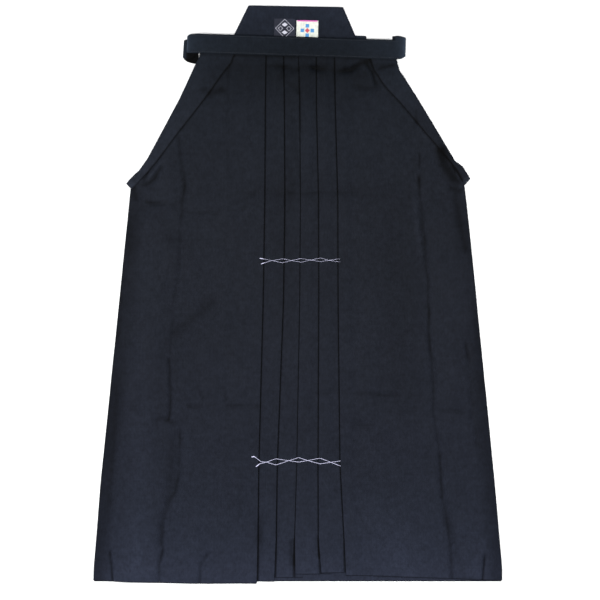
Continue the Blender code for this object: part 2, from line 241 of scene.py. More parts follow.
def crease_effect(crease, x, y):
    """How far one crease moves the cloth up or down at a point, and the shade painted along its line there.
    """
    left, right, low, high = crease_box(crease)
    if not (left < x < right and low < y < high):
        return 0.0, 0.0
    reach = 3 * crease.half_width
    nearest, along, total = None, 0.0, 0.0
    for (ax, ay), (bx, by) in zip(crease.points, crease.points[1:]):
        dx, dy = bx - ax, by - ay
        length = math.hypot(dx, dy)
        t = min(max(((x - ax) * dx + (y - ay) * dy) / (length * length), 0.0), 1.0)
        away_x, away_y = x - ax - dx * t, y - ay - dy * t
        away = math.hypot(away_x, away_y)
        if nearest is None or away < abs(nearest):
            nearest = math.copysign(away, dx * away_y - dy * away_x)
            along = total + t * length
        total += length
    nearest += soft_wave(x, y, WANDER_LENGTH, crease.wander, 9.5)
    if abs(nearest) > reach:
        return 0.0, 0.0
    ends = eased(along / crease.fade) * eased((total - along) / crease.fade)
    ends *= 1 + soft_wave(x, y, UNEVEN_LENGTH, CREASE_UNEVENNESS * crease.wander, 4.5)
    offset = nearest / crease.half_width
    height = (crease.depth + crease.lean * offset) * math.exp(-offset * offset) * ends
    painted_shade = -crease.depth * crease.painted_darkness * math.exp(-((offset / PAINTED_LINE_WIDTH) ** 2)) * ends
    return height, painted_shade


def creases_effect(creases, x, y):
    height, painted_shade = 0.0, 0.0
    for crease in creases:
        one_height, one_painted_shade = crease_effect(crease, x, y)
        height += one_height
        painted_shade += one_painted_shade
    return height, min(max(painted_shade, RIDGE_HIGHLIGHT_LIMIT), DARKEST_CREASE_SHADE)


def ride_as_finished(name, bm, finish, nodes=()):
    """Makes a finished piece of a closed bmesh, which rides with the garment and stands for CAD nodes."""
    mesh = bpy.data.meshes.new(name)
    bm.to_mesh(mesh)
    bm.free()
    mesh.shade_smooth()
    mesh.set_sharp_from_angle(angle=SHARP_ANGLE)
    mesh.materials.append(finish)
    piece = placed(name, mesh)
    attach(piece, "root")
    if nodes:
        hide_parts(*nodes)
    return piece


def cloth_grid(columns, rows):
    """A bmesh with a grid of points, row after row, and its layer that holds the shade painted on each point.
    """
    bm = bmesh.new()
    bmesh.ops.create_grid(bm, x_segments=columns - 1, y_segments=rows - 1, size=1)
    bm.verts.ensure_lookup_table()
    return bm, bm.verts.layers.float.new("shade")


def map_cloth(bm, cloth_place):
    """Gives each point its place on the flat cloth, in a UV map that holds metres."""
    cloth_map = bm.loops.layers.uv.new("cloth")
    for face in bm.faces:
        for loop in face.loops:
            across, up = cloth_place(loop.vert.index)
            loop[cloth_map].uv = (across / 1000, up / 1000)


def woven_sheet(name, lines, thickness, finish, nodes=(), grain=0):
    """A thin shell through lines of cloth points, from the lowest line up and each from left to right.

    Places on the cloth are measured across from the grain column and up along it.
    """
    columns = len(lines[0])
    bm, shade = cloth_grid(columns, len(lines))
    places, height = [], 0.0
    for number, line in enumerate(lines):
        if number:
            height += math.dist(line[grain][:3], lines[number - 1][grain][:3])
        runs = [0.0]
        for before, after in zip(line, line[1:]):
            runs.append(runs[-1] + math.dist(after[:3], before[:3]))
        places += [(run - runs[grain], height) for run in runs]
        for i, point in enumerate(line):
            vert = bm.verts[number * columns + i]
            vert.co = Vector(point[:3]) / 1000
            vert[shade] = point.shade
    map_cloth(bm, lambda number: places[number])
    bm.normal_update()
    for vert in bm.verts:
        vert.co += vert.normal * thickness / 2000
    bmesh.ops.solidify(bm, geom=bm.faces[:], thickness=thickness / 1000)
    return ride_as_finished(name, bm, finish, nodes)


class ShaderTree:
    """A shader tree as it is built. Inputs take a number, a colour or another node's output."""

    def __init__(self, tree):
        self.tree = tree

    def feed(self, sockets, values):
        for name, value in dict(values).items():
            if isinstance(value, bpy.types.NodeSocket):
                self.tree.links.new(value, sockets[name])
            else:
                sockets[name].default_value = value

    def node(self, kind, inputs=(), **settings):
        made = self.tree.nodes.new(kind)
        for setting, value in settings.items():
            setattr(made, setting, value)
        self.feed(made.inputs, inputs)
        return made

    def maths(self, operation, *terms):
        return self.node("ShaderNodeMath", enumerate(terms), operation=operation).outputs[0]

    def times(self, first, second):
        return self.maths("MULTIPLY", first, second)

    def times_plus(self, value, factor, more):
        return self.maths("MULTIPLY_ADD", value, factor, more)

    def varied(self, value, amount, middle=1.0):
        """Turns a value that runs from 0 to 1 into one that varies by an amount round a middle."""
        return self.times_plus(value, amount, middle - amount / 2)

    def scaled(self, colour, factor):
        values = {0: colour, "Scale": factor}
        return self.node("ShaderNodeVectorMath", values, operation="SCALE").outputs[0]

    def across_and_up(self, place):
        return self.node("ShaderNodeSeparateXYZ", {0: place}).outputs[:2]

    def noised(self, place, scale, detail, stretch=(1, 1, 1)):
        """A Noise texture's value at a place, stretched by scaling each axis."""
        mapping = self.node("ShaderNodeMapping", {"Scale": stretch, "Vector": place})
        values = {"Scale": scale, "Detail": detail, "Vector": mapping.outputs["Vector"]}
        return self.node("ShaderNodeTexNoise", values).outputs["Fac"]

    def bumped(self, height, strength, depth, **more):
        values = {"Strength": strength, "Distance": depth, "Height": height, **more}
        return self.node("ShaderNodeBump", values).outputs["Normal"]


def shader_group(name, inputs, outputs):
    """A new node group's tree, and the sockets of its entry and its exit."""
    group = bpy.data.node_groups.new(name, "ShaderNodeTree")
    for way, sockets in (("INPUT", inputs), ("OUTPUT", outputs)):
        for socket, kind in sockets.items():
            group.interface.new_socket(socket, in_out=way, socket_type=f"NodeSocket{kind}")
    tree = ShaderTree(group)
    return tree, tree.node("NodeGroupInput").outputs, tree.node("NodeGroupOutput").inputs


def finish_tree(name):
    """A new material, its tree and its shader's sockets."""
    material = bpy.data.materials.new(name)
    material.use_nodes = True
    shader = material.node_tree.nodes["Principled BSDF"]
    return material, ShaderTree(material.node_tree), shader.inputs


def plain_weave_group():
    """Plain weave: threads pass over and under one another, a little thicker here and thinner there."""
    inputs = {"Cloth Place": "Vector", "Threads Per Metre": "Float"}
    tree, entry, leave = shader_group("plain_weave", inputs, {"Height": "Float", "Thread Tone": "Float"})
    place = entry["Cloth Place"]
    waves = []
    for along in tree.across_and_up(place):
        phase = tree.times(along, entry["Threads Per Metre"])
        waves.append(tree.maths("COSINE", tree.times(phase, math.pi)))
    over_under = tree.times(*waves)
    warp, weft = (tree.noised(place, 1, 1, slubs) for slubs in (WARP_SLUBS, WEFT_SLUBS))
    tone = tree.times(tree.maths("ADD", warp, weft), 0.5)
    tree.feed(leave, {"Height": tree.times_plus(over_under, 0.5, 0.5), "Thread Tone": tone})
    return tree.tree


def painted_shading_and_mottling_group():
    """Painted light and shade on cloth: shade in folds, a shadow at the waist and light towards the hem, with
    the dye's soft mottling.
    """
    inputs = {"Place": "Vector", "Fold Shade": "Float"}
    tree, entry, leave = shader_group("painted_shading_and_mottling", inputs, {"Tone": "Color", "Crumple": "Float"})
    place = entry["Place"]
    across, up = tree.across_and_up(place)
    length = tree.node("ShaderNodeValToRGB", {"Fac": tree.times_plus(up, 1 / GARMENT_LENGTH, 0.5)})
    ramp = length.color_ramp
    ramp.interpolation = "B_SPLINE"
    while len(ramp.elements) < len(LENGTH_PAINTED_LIGHT):
        ramp.elements.new(0.5)
    for element, stop in zip(ramp.elements, LENGTH_PAINTED_LIGHT):
        element.position = stop.share
        element.color = (*(part / PAINTED_LIGHT_SCALE for part in (stop.red, stop.green, stop.blue)), 1)
    tone = PAINTED_LIGHT_SCALE
    for scale, detail, stretch, amount in MOTTLINGS:
        tone = tree.times(tree.varied(tree.noised(place, scale, detail, stretch), amount), tone)
    # A soft shadow painted over the middle of the waist, darkest at its centre.
    aside = tree.times(across, 1 / WAIST_SHADOW_WIDTH)
    above = tree.times(tree.maths("SUBTRACT", up, WAIST_SHADOW_Y), 1 / WAIST_SHADOW_HEIGHT)
    away = tree.times_plus(above, above, tree.times(aside, aside))
    patch = tree.maths("POWER", math.exp(-1), away)
    tone = tree.times(tone, tree.times_plus(patch, -WAIST_SHADOW_DARKENING, 1))
    tone = tree.times(tone, tree.times_plus(entry["Fold Shade"], -SHADE_DARKENING, 1))
    crumple = tree.noised(place, CRUMPLE_SCALE, 3, CRUMPLE_STRETCH)
    tree.feed(leave, {"Tone": tree.scaled(length.outputs["Color"], tone), "Crumple": crumple})
    return tree.tree


plain_weave = plain_weave_group()
painted_shading_and_mottling = painted_shading_and_mottling_group()


def cloth_finish(name, colour, roughness=0.62, threads=THREADS_PER_METRE, gloss=0.035, mapped=True):
    """Smooth plain-woven polyester and cotton, dyed in the piece, with a low satin sheen."""
    material, tree, shader = finish_tree(name)
    place = tree.node("ShaderNodeTexCoord").outputs
    shade = tree.node("ShaderNodeAttribute", attribute_name="shade").outputs["Fac"]
    woven = {"Cloth Place": place["UV" if mapped else "Object"], "Threads Per Metre": threads}
    weave = tree.node("ShaderNodeGroup", woven, node_tree=plain_weave).outputs
    painted_light_and_shade = {"Place": place["Object"], "Fold Shade": shade}
    painted_shade_and_crumple = tree.node("ShaderNodeGroup", painted_light_and_shade, node_tree=painted_shading_and_mottling).outputs
    dyed = tree.node("ShaderNodeVectorMath", {0: painted_shade_and_crumple["Tone"], 1: colour}, operation="MULTIPLY").outputs[0]
    # The weave's low places between the threads are painted darker, as shade; the slubs vary the threads' own
    # tone.
    tone = tree.times(tree.varied(weave["Thread Tone"], 0.5), tree.varied(weave["Height"], 0.3))
    crumpled = tree.bumped(painted_shade_and_crumple["Crumple"], 0.35, CRUMPLE_DEPTH)
    surface = {
        "Base Color": tree.scaled(dyed, tone),
        "Roughness": tree.varied(painted_shade_and_crumple["Crumple"], 0.14, roughness),
        "Specular IOR Level": gloss,
        "Sheen Weight": 0.01,
        "Sheen Roughness": 0.5,
        "Normal": tree.bumped(weave["Height"], 0.5, WEAVE_DEPTH, Normal=crumpled),
    }
    tree.feed(shader, surface)
    return material


def panel_rows():
    """Heights of a panel's rows, from the hem up to the waist, with two more close to the hem's edge."""
    count = round((WAIST - HEM) / ROW_STEP)
    rows = [HEM + (WAIST - HEM) * number / count for number in range(1, count + 1)]
    return [HEM, *(HEM + place for place in HEM_EDGE_PLACES), *rows]


def hem_shade(row):
    return HEM_SHADE * (1 - eased((row - HEM) / HEM_SHADE_FADE))


def waist_share(y):
    """How far a height is on the way from where rows begin to turn up to the waist."""
    return max(y - WAIST_BLEND, 0) / (WAIST - WAIST_BLEND)


def board_lower_edge(x):
    (x0, y0), (x1, y1) = BOARD_LOWER_EDGE
    return y0 + (y1 - y0) * (x - x0) / (x1 - x0)


def back_leg_lines(side, facing):
    corner = abs(BOARD_LOWER_EDGE[0 if facing > 0 else 1][0])
    slit_end = between(SIDE_EDGES, SLIT_END, side)
    lines = []
    for row in panel_rows():
        edge = between(SIDE_EDGES, row, side)
        if row > SLIT_END:
            edge = slit_end + (corner - slit_end) * (row - SLIT_END) / (WAIST - SLIT_END)
        edge -= BACK_EDGE_INSET
        line = []
        for i in range(BACK_COLUMNS + 1):
            x = -facing * (edge + (CENTRE_SEAM_GAP - edge) * i / BACK_COLUMNS)
            y = row + (board_lower_edge(x) - BOARD_SEAM_GAP - WAIST) * waist_share(row)
            height = creases_effect(BACK_CREASES, x, y)[0]
            line.append(ClothPoint(x, y, BACK_MIDDLE + max(height, 0), hem_shade(row)))
        lines.append(line[::facing])
    return lines


navy_cloth = cloth_finish("navy_cloth", NAVY)
back_legs = []
for side, facing in SIDES:
    name, lines = f"back_leg_{side}_cloth", back_leg_lines(side, facing)
    grain = BACK_COLUMNS if facing > 0 else 0
    back_leg = woven_sheet(name, lines, CLOTH, navy_cloth, [f"back_leg_{side}"], grain)
    back_legs.append(back_leg)

# The front legs: each is one width of the same cloth, laid in knife pleats that are pressed and sewn in at
# the waist. Two pleats on the wearer's right and three on the left all turn towards the centre.
PITCH = 0.85  # from one layer in a pleat to the next
FOLD_RADIUS = PITCH / 2
BOTTOM_LAYER = 1.75
PLEAT_RUN = 15.0
UNDERLAP_PLACES = (2.0, 7.0, 14.0)  # past the centre fold, on the right leg's inner edge
WAIST_LIFT = 4.7
LIFT_START, LIFT_END = 372.0, 443.0
WIDE_COLUMNS = 140
EDGE_MIDDLE = 0.95  # height of a front panel's edge, just over the back panel
EDGE_PLACES = (0.0, 0.4, 1.2, 2.6, 5.0, 8.5)  # distances from the edge at which it rounds up
EDGE_RISES = (0.0, 0.35, 0.62, 0.84, 0.96, 1.0)
EDGE_INSET = 3.0
OUTER_SWELL, OUTER_FULLNESS = 3.2, 0.8
INNER_SWELL = 1.2
SWELL_FADE = 90.0
EDGE_SHADE_WIDTH = 36.0
FOLD_SHADOW = 0.65  # how much shadow is painted on the cloth right beside a side fold
FOLD_SHADOW_REACH = 3.4
HEM_FADING = 0.15  # how much less shade is painted on the pleats' inner lines by the hem
HEM_FADING_REACH = 60.0
HEM_RISE = 0.35
HEM_STEP_START, HEM_STEP = HEM + HEM_DEPTH - 3.0, 4.0  # where the turned-up hem's thickness ends
CREASE_FADE = 30.0  # creases die out over this height below the waist
GAPE_START, GAPE_REACH, GAPE = -430.0, 80.0, 0.9  # from here down, the pleats' folds part a little
FOLD_PUFF = 0.22
BAND_MIDDLE = (-3.0, 456.6)
BAND_SLOPE = -0.0317
BAND_WIDTH = 36.0
BAND_TUCK = 2.5
BAND_SHADOW = 0.75
BAND_SHADOW_REACH = 4.5
BAND_SHADOW_LOSS = 0.55  # how much softer it is past the middle, on the wearer's left
LOSS_START, LOSS_WIDTH = -20.0, 60.0  # where it softens, along the band
BROAD_SWELL, FINE_SWELL = (95.0, 0.7, 1.5), (34.0, 0.4, 7.5)  # length, height and seed
FINE_SWELL_STRETCH = 0.45
TURN_STEPS = 5  # in the round where cloth turns back
# Shade painted round each pleat's fold and on the cloth just past it, where little light gets in.
FOLD_TURN_SHADES = (0.0, 0.3, 0.8, 1.0, 1.0, 1.0)
FOLD_TIP, FOLD_TIP_REACH = 0.8, 0.9  # where a fold's round starts, and how far it stands out
FOLD_NEARS = ((3.0, 1.0), (1.5, 0.8))  # how far back from a fold, and how puffed up
HEM_INSIDE_SHADE = 0.15  # shade painted inside a pleat, within the hem's depth
CLIMB_SHARES = (0.0, 0.2, 0.4, 0.6, 0.8)  # where a strip climbs over the returns
RETURN_PLACES = (0.35, 0.7)  # shares of a return's depth
UNDER_FOLD = ((-0.3, 0.25, 1.0), (0.8, 0.4, 1.0), (1.7, 0.3, 0.75), (2.8, 0.1, 0.0))  # past, dip, painted shade
UNDER_FOLD_END = 5.5  # this far past a fold, the next strip is clear of it
LAP_NEARS = ((1.3, 0.7), (0.6, 1.0))  # how far short of the other leg's fold, and the painted shade
LAP_START, LAP_CELLS = 2.2, 7
SLIT_EASE = 40.0  # above the slit's end, the edge draws in over this height
LEAST_SWELL_ROOM = 20.0  # a long crease nearer to the edge lets nothing swell


# Where the five pleat folds lie, and how deep their returns are.
FOLD_LINES = rows_of(
    "y first second third fourth fifth depth",
    (450, -59, -27, 2, 35.5, 69, 15), (359, -60.5, -25.5, 4.5, 35.5, 70, 14),
    (174, -61.5, -24.5, 6, 39.5, 75, 14), (-10, -64.5, -27, 4.5, 40, 75.5, 15),
    (-314, -72.5, -38.5, -1, 38.5, 79, 16), (-453, -74, -40.5, -5, 39, 86.5, 17),
    (-540, -76, -44, -4, 44.5, 90, 18),
)
# Where each side fold's inner line and each wide strip's long crease lie, from the middle, and how much
# shade is painted on each leg where it turns away at its side edge.
SIDE_FOLD_LINES = rows_of(
    "y right left",
    (450, 115, 133), (426, 123.5, 138), (411, 136, 143.5), (388.5, 152.5, 158), (377, 160.5, 167.5),
    (360, 173, 184), (340.5, 188, 201), (300, 220, 235), (250, 257, 278.5), (231, 272.5, 294),
    (222, 279.5, 301),
)
LONG_CREASES = rows_of(
    "y right left",
    (450, 140, 150), (344, 200, 200), (211, 210, 224), (42, 220, 237), (-143, 234, 252), (-342, 226, 266),
    (-540, 256, 289),
)
EDGE_PAINTED_SHADE = rows_of(
    "y right left",
    (190, 0.5, 0.45), (85, 0.44, 0.2), (40, 0.22, 0.06), (-50, 0.2, 0.05), (-120, 0.32, 0.2),
    (-160, 0.46, 0.34), (-270, 0.5, 0.34), (-340, 0.42, 0.28), (-430, 0.44, 0.36), (-475, 0.5, 0.44),
    (-510, 0.58, 0.46),
)
# What the two front legs differ in: which way their folds face, and which these are; the wide strip's hem and
# the other strips' hems; the other leg's fold that one reaches under; and the flat cloth's size and area.
LEGS = rows_of(
    "side facing folds hem strip_hems reaches_under flat area",
    (
        "right", 1, ("first", "second"),
        rows_of("x y", (-377, -527), (-311, -530.5), (-190, -533.1), (-76, -532.8)),
        (-529, -522), "third", (0.465, 0.98), 0.364,
    ),
    (
        "left", -1, ("fifth", "fourth", "third"),
        rows_of("x y", (90, -518), (160, -519.5), (262, -523.5), (377, -527)),
        (-513, -515.5, -515.5), "", (0.5, 0.965), 0.385,
    ),
)

# Creases in the front, from where it lay folded: down each leg and up from the hems, then level ones, then
# pulls at the waist and by the tabs. The last rows are broad hollows and crowns, hardly deep: painted shade
# and light.
FRONT_CREASES = rows_of(
    Crease,
    (((-221, 329), (-220, 302)), 4.2, -0.9, 0, 10),
    (((-221, 298), (-218, 271), (-217, 250)), 4.6, -1.2, 0, 10),
    (((-217, 256), (-213, 231), (-209, 205), (-212, 184), (-214, 134)), 4.6, -1.8, 0, 14, 0.28),
    (((-216, 158), (-218, 51), (-226, 5), (-229, -14)), 3.2, -0.9),
    (((-229, -10), (-236, -125)), 4, -0.5),
    (((-237, -112), (-236, -150), (-234, -195), (-239, -238)), 3.4, -1.9, 0.3, 12, 0.3, 1.5),
    (((-274, -232), (-250, -229), (-217, -241)), 5, -1.3, 0.5, 12),
    (((-217, -240), (-219, -309), (-217, -324), (-226, -364), (-236, -379)), 3.8, -1.6, 0.5, 12, 0.22, 2),
    (((-230, -370), (-236, -379), (-248, -416), (-252, -453), (-249, -471)), 6.2, -1.8, 0.5, 12, 0.26, 2),
    (((-250, -462), (-249, -471), (-256, -499), (-254, -545)), 4.4, -1.8, 0.5, 12, 0.3, 2),
    (((-229, -250), (-232, -330), (-231, -388)), 16, -0.9, 0, 22, 0.3, 0.5),
    (((-347, -467), (-339, -545)), 3, -2.3, 0.6, 12, 0.34, 1),
    (((-157, -471), (-176, -494), (-182, -545)), 4, -1.3, 0.5, 15),
    (((218, 346), (221, 310)), 4.2, -1.6, 0, 10, 0.26, 1.5),
    (((224, 268), (224, 230)), 3.6, -1.5, 0, 10, 0.3, 1.5),
    (((223, 224), (224, 200), (226, 176)), 4.4, -1.9, -0.3, 9, 0.38, 1.5),
    (((225, 184), (229, 150), (233, 108)), 4, -1.3, -0.4, 12, 0.26, 1.5),
    (((214, 190), (221, 122), (228, 62)), 5, 0.7, 0, 15, 0.3, 1),
    (((233, 118), (235, 64), (240, 32), (241, -22)), 3.6, -1.5, -0.4, 14, 0.28, 1.5),
    (((241, -10), (242, -36), (242, -64), (244, -100), (248, -126)), 4.2, -1.9, -0.5, 18, 0.3, 1.2),
    (((246, -108), (250, -150), (251, -190), (250, -222)), 4, -1.3, -0.4, 14, 0.26, 1.2),
    (((250, -212), (255, -245), (262, -290)), 4, -0.9, -0.3, 14, 0.24, 1.2),
    (((261, -284), (263, -316), (264, -345), (268, -384)), 4, -1.8, -0.5, 14, 0.3, 1.2),
    (((266, -372), (273, -400), (278, -440), (282, -475), (286, -545)), 4.6, -1.1, -0.5, 16, 0.26, 2),
    (((266, -370), (276, -410), (288, -470)), 13, -0.7, 0, 25, 0.25),
    (((346, -474), (338, -545)), 3, -2.4, -0.5, 12, 0.34, 1),
    (((309, -76), (318, -142)), 4.5, -1, 0, 20),
    (((-128, 433), (-129, 300), (-127, 190)), 3.5, -0.6),
    (((-10, -446), (-12, -476), (-9, -507)), 6.5, -0.3, 0, 12, 1.5, 0.6),
    (((35, -438), (37, -462), (40, -492)), 5, -0.3, 0, 12, 1.2, 0.6),
    (((-70, -395), (-69, -450), (-70, -505)), 8, -0.3, 0, 25, 0.9),
    (((-284, 170), (-250, 167), (-219, 166)), 4.2, -1.6, 0.5, 10),
    (((-209, 153), (-140, 149)), 5.5, -0.7),
    (((-143, -4), (-190, -40), (-238, -86)), 13, -0.8, 0, 22, 0.36, 1),
    (((-256, 105), (-180, 94)), 10, -0.6, 0, 25, 0.25),
    (((-328, -210), (-270, -216)), 6, -1),
    (((-208, -207), (-172, -207)), 4, -1.2, 0, 8, 0.36, 1.2),
    (((-136, -206), (-66, -206)), 3.4, -1.5, 0.3, 10, 0.32, 1.2),
    (((-152, -174), (-134, -174), (-134, -204)), 3.4, -0.9, 0, 8),
    (((-182, -166), (-180, -185), (-170, -199)), 3.6, -1, 0, 8),
    (((-112, 187), (-20, 186), (60, 189), (133, 184)), 4, -0.8, 0.3),
    (((58, -30), (134, -30)), 3.6, -0.6),
    (((16, -181), (72, -178), (128, -183), (198, -186)), 3.8, -0.8, 0.3),
    (((89, -233), (143, -244)), 5, -1, 0, 14),
    (((252, -211), (320, -218)), 6.5, -0.9),
    (((-69, 424), (-27, 420), (-5, 414), (14, 420), (43, 416)), 5.5, -1.8, 0.3, 18, 0.3),
    (((20, 419), (43, 416), (69, 412), (98, 416)), 5.5, -1.6, 0.3, 12, 0.3),
    (((60, 413), (98, 416), (117, 427), (139, 430)), 6, -2, 0.3, 10, 0.32),
    (((143, 414), (182, 424)), 4.8, -1.8, 0.3, 8, 0.36, 0.5),
    (((121, 433), (137, 411), (145, 386)), 3.2, -1.6, 0, 8, 0.4, 1),
    (((94, 385), (121, 381), (143, 385), (151, 397)), 6.5, -1.7, 0.3, 12, 0.3),
    (((-184, 383), (-160, 370), (-128, 382)), 9.5, -1.3, 0.3, 12, 0.28),
    (((-22, 394), (-2, 381), (3, 366)), 6, -1, 0, 8, 0.45),
    (((-28, 426), (-30, 392)), 5, -0.7, 0, 8, 0.45),
    (((-10, 337), (1, 230), (5, 202)), 2.8, -0.7, 0.3, 10),
    (((1.5, 429), (2.6, 407)), 2.6, -0.35, 0, 6, 1.1, 0.4),
    (((2.6, 405), (4.2, 366), (5.2, 296)), 2.6, -0.4, 0, 10, 1.1, 0.4),
    (((-24.5, 188), (-25, 158)), 2.4, -0.35, 0, 8, 1.1, 0.4),
    (((67.5, 420), (70, 370)), 2.4, -0.3, 0, 8, 1, 0.4),
    (((4, 200), (-21, 182)), 3.2, -1, 0.5, 8),
    (((-25, 341), (1, 340)), 2.8, -0.7, 0.3, 6),
    (((-292, 202), (-276, 205), (-264, 213), (-258, 226), (-248, 240)), 4.8, -2.3, 0.5, 8, 0.28, 1),
    (((-289, 209), (-280, 218), (-276, 228)), 3.2, -1, 0, 5, 0.5, 1),
    (((-278, 212), (-261, 231), (-249, 251)), 3.6, 1.4, 0, 8, 0.26, 1),
    (((-305, 202), (-298, 170)), 8.5, -1.7, 0, 6, 0.34, 0.5),
    (((-292, 184), (-222, 184)), 13, 0.5, 0, 15, 0.42, 0.6),
    (((-252, 258), (-205, 300)), 15, 0.4, 0, 18, 0.35, 0.6),
    (((262, 276), (276, 238), (303, 200)), 11, -2.4, -0.3, 8, 0.28, 0.5),
    (((258, 276), (266, 238), (290, 202)), 8.5, -1.4, 0, 8, 0.33, 0.5),
    (((290, 227), (306, 202)), 2.6, 1.6, 0, 5, 0.35, 0.5),
    (((283, 241), (305, 208)), 3.2, -1, 0, 6, 0.6, 0.5),
    (((277, 197), (306, 190)), 6.5, -1.9, 0.2, 5, 0.34, 0.5),
    (((290, 196), (300, 125), (313, 70)), 9, -0.9, 0, 16, 0.42, 0.8),
    (((260, 283), (292, 243)), 7.5, -0.5, 0, 10, 0.4, 1),
    (((317, -135), (324, -225), (335, -290)), 5, -0.7, 0.5, 20, 0.2, 1.5),
    (((-331, -150), (-337, -250), (-346, -360), (-350, -430)), 6, -0.6, -0.5, 20, 0.2, 1.5),
    (((-175, 424), (-80, 420)), 11, -0.5, 0, 18, 0.25, 0.6),
    (((22, 424), (78, 420)), 9.5, -0.8, 0, 12, 0.36, 0.6),
    (((115, 424), (190, 422)), 9.5, -0.7, 0, 14, 0.38, 0.6),
    (((-182, 398), (-143, 396)), 12, -0.5, 0, 14, 0.4, 0.6),
    (((-180, 410), (190, 404)), 22, -0.3, 0, 18, 0.45, 0.6),
    (((88, 412), (134, 398)), 14, -0.5, 0, 14, 0.34, 0.6),
    (((-262, 262), (-246, 182)), 28, 0.4, 0, 22, 0.45, 0.6),
    (((-320, 60), (-338, -120)), 8, -0.85, 0.5, 40),
    (((322, 20), (344, -190)), 8, -0.85, -0.5, 40),
    (((-270, 150), (-278, -65), (-290, -250), (-296, -560)), 32, 0.4, 0, 60, 0.42, 0.6),
    (((-284, -180), (-288, -290), (-296, -560)), 34, 0.3, 0, 60, 0.2, 0.6),
    (((180, 230), (189, -10), (200, -270)), 56, -0.4, 0, 70, 0.38, 0.6),
    (((-12, 372), (-12, 168)), 11, -0.35, 0, 30, 0.4, 0.6),
    (((20, 378), (20, 225)), 10, 0.3, 0, 30, 0.35, 0.6),
    (((22, -420), (32, -525)), 24, 0.35, 0, 30, 0.38, 0.6),
    (((285, -430), (300, -560)), 30, -0.4, 0, 40, 0.33, 0.6),
    (((-25, 270), (-25, -110)), 34, -0.3, 0, 60, 0.35, 0.6),
    (((-120, 190), (190, 190)), 24, -0.3, 0, 40, 0.35, 0.6),
    (((112, -355), (180, -450), (205, -560)), 36, 0.4, 0, 40, 0.3, 0.6),
    (((-50, -528), (110, -522)), 24, 0.3, 0, 20, 0.4, 0.6),
)


def relief(x, y):
    """How far creases and soft waves move the front up or down, and the shade and highlights that the creases
    paint on it.
    """
    level = soft_wave(x, y, *BROAD_SWELL) + soft_wave(x, y * FINE_SWELL_STRETCH, *FINE_SWELL)
    height, painted_shade = creases_effect(FRONT_CREASES, x, y)
    return level + height, painted_shade


def waist_lift(y):
    return WAIST_LIFT * eased((y - LIFT_START) / (LIFT_END - LIFT_START))


def band_y(x, across):
    """Height on the waistband's face, with across from 0 at its lower edge to its width at its upper edge."""
    return BAND_MIDDLE[1] + BAND_SLOPE * (x - BAND_MIDDLE[0]) - BAND_WIDTH / 2 + across


def band_shadow(x, y):
    """The shadow painted on the cloth just below the waistband's lower edge."""
    strength = BAND_SHADOW * (1 - BAND_SHADOW_LOSS * eased((x - LOSS_START) / LOSS_WIDTH))
    return strength * (1 - eased((band_y(x, 0) - y) / BAND_SHADOW_REACH))


def turned(centre, top, bottom, facing, reach=0.0):
    """Points of a half ellipse where cloth turns back, from its upper layer to its lower one."""
    middle, radius = (top + bottom) / 2, (top - bottom) / 2
    reach = reach or radius
    angles = [math.pi / 2 - math.pi * step / TURN_STEPS for step in range(TURN_STEPS + 1)]
    return [(centre + facing * reach * math.cos(a), middle + radius * math.sin(a)) for a in angles]


def wide_strip(leg, row, climb_start):
    """(s, z, strip, shade) across a front panel's outer strip, swollen on both sides of its long crease."""
    edge = -between(SIDE_EDGES, row, leg.side) + EDGE_INSET * eased((row - SLIT_END) / SLIT_EASE)
    crease = -between(LONG_CREASES, row, leg.side)
    start = edge + EDGE_PLACES[-1]
    places = [edge + place for place in EDGE_PLACES[:-1]]
    places += [start + (climb_start - start) * i / WIDE_COLUMNS for i in range(WIDE_COLUMNS)]
    looseness = eased((SLIT_END - row) / SWELL_FADE)
    strip = []
    for number, s in enumerate(places):
        rise = EDGE_RISES[min(number, len(EDGE_RISES) - 1)]
        z = EDGE_MIDDLE + (BOTTOM_LAYER - EDGE_MIDDLE) * rise
        if crease > edge + LEAST_SWELL_ROOM:
            if s < crease:
                share = (s - edge) / (crease - edge)
                swell = OUTER_SWELL * math.sin(math.pi * share) ** OUTER_FULLNESS
            else:
                share = (s - crease) / (climb_start - crease)
                swell = INNER_SWELL * math.sin(math.pi * min(share, 1.0))
            z += swell * looseness
        # Shade painted near the side edge, where the strip rounds away, fading inwards.
        edge_shade = between(EDGE_PAINTED_SHADE, row, leg.side) * looseness
        edge_shade *= 1 - eased((s - edge) / EDGE_SHADE_WIDTH) ** 2
        strip.append((s, z, 0, edge_shade))
    return strip


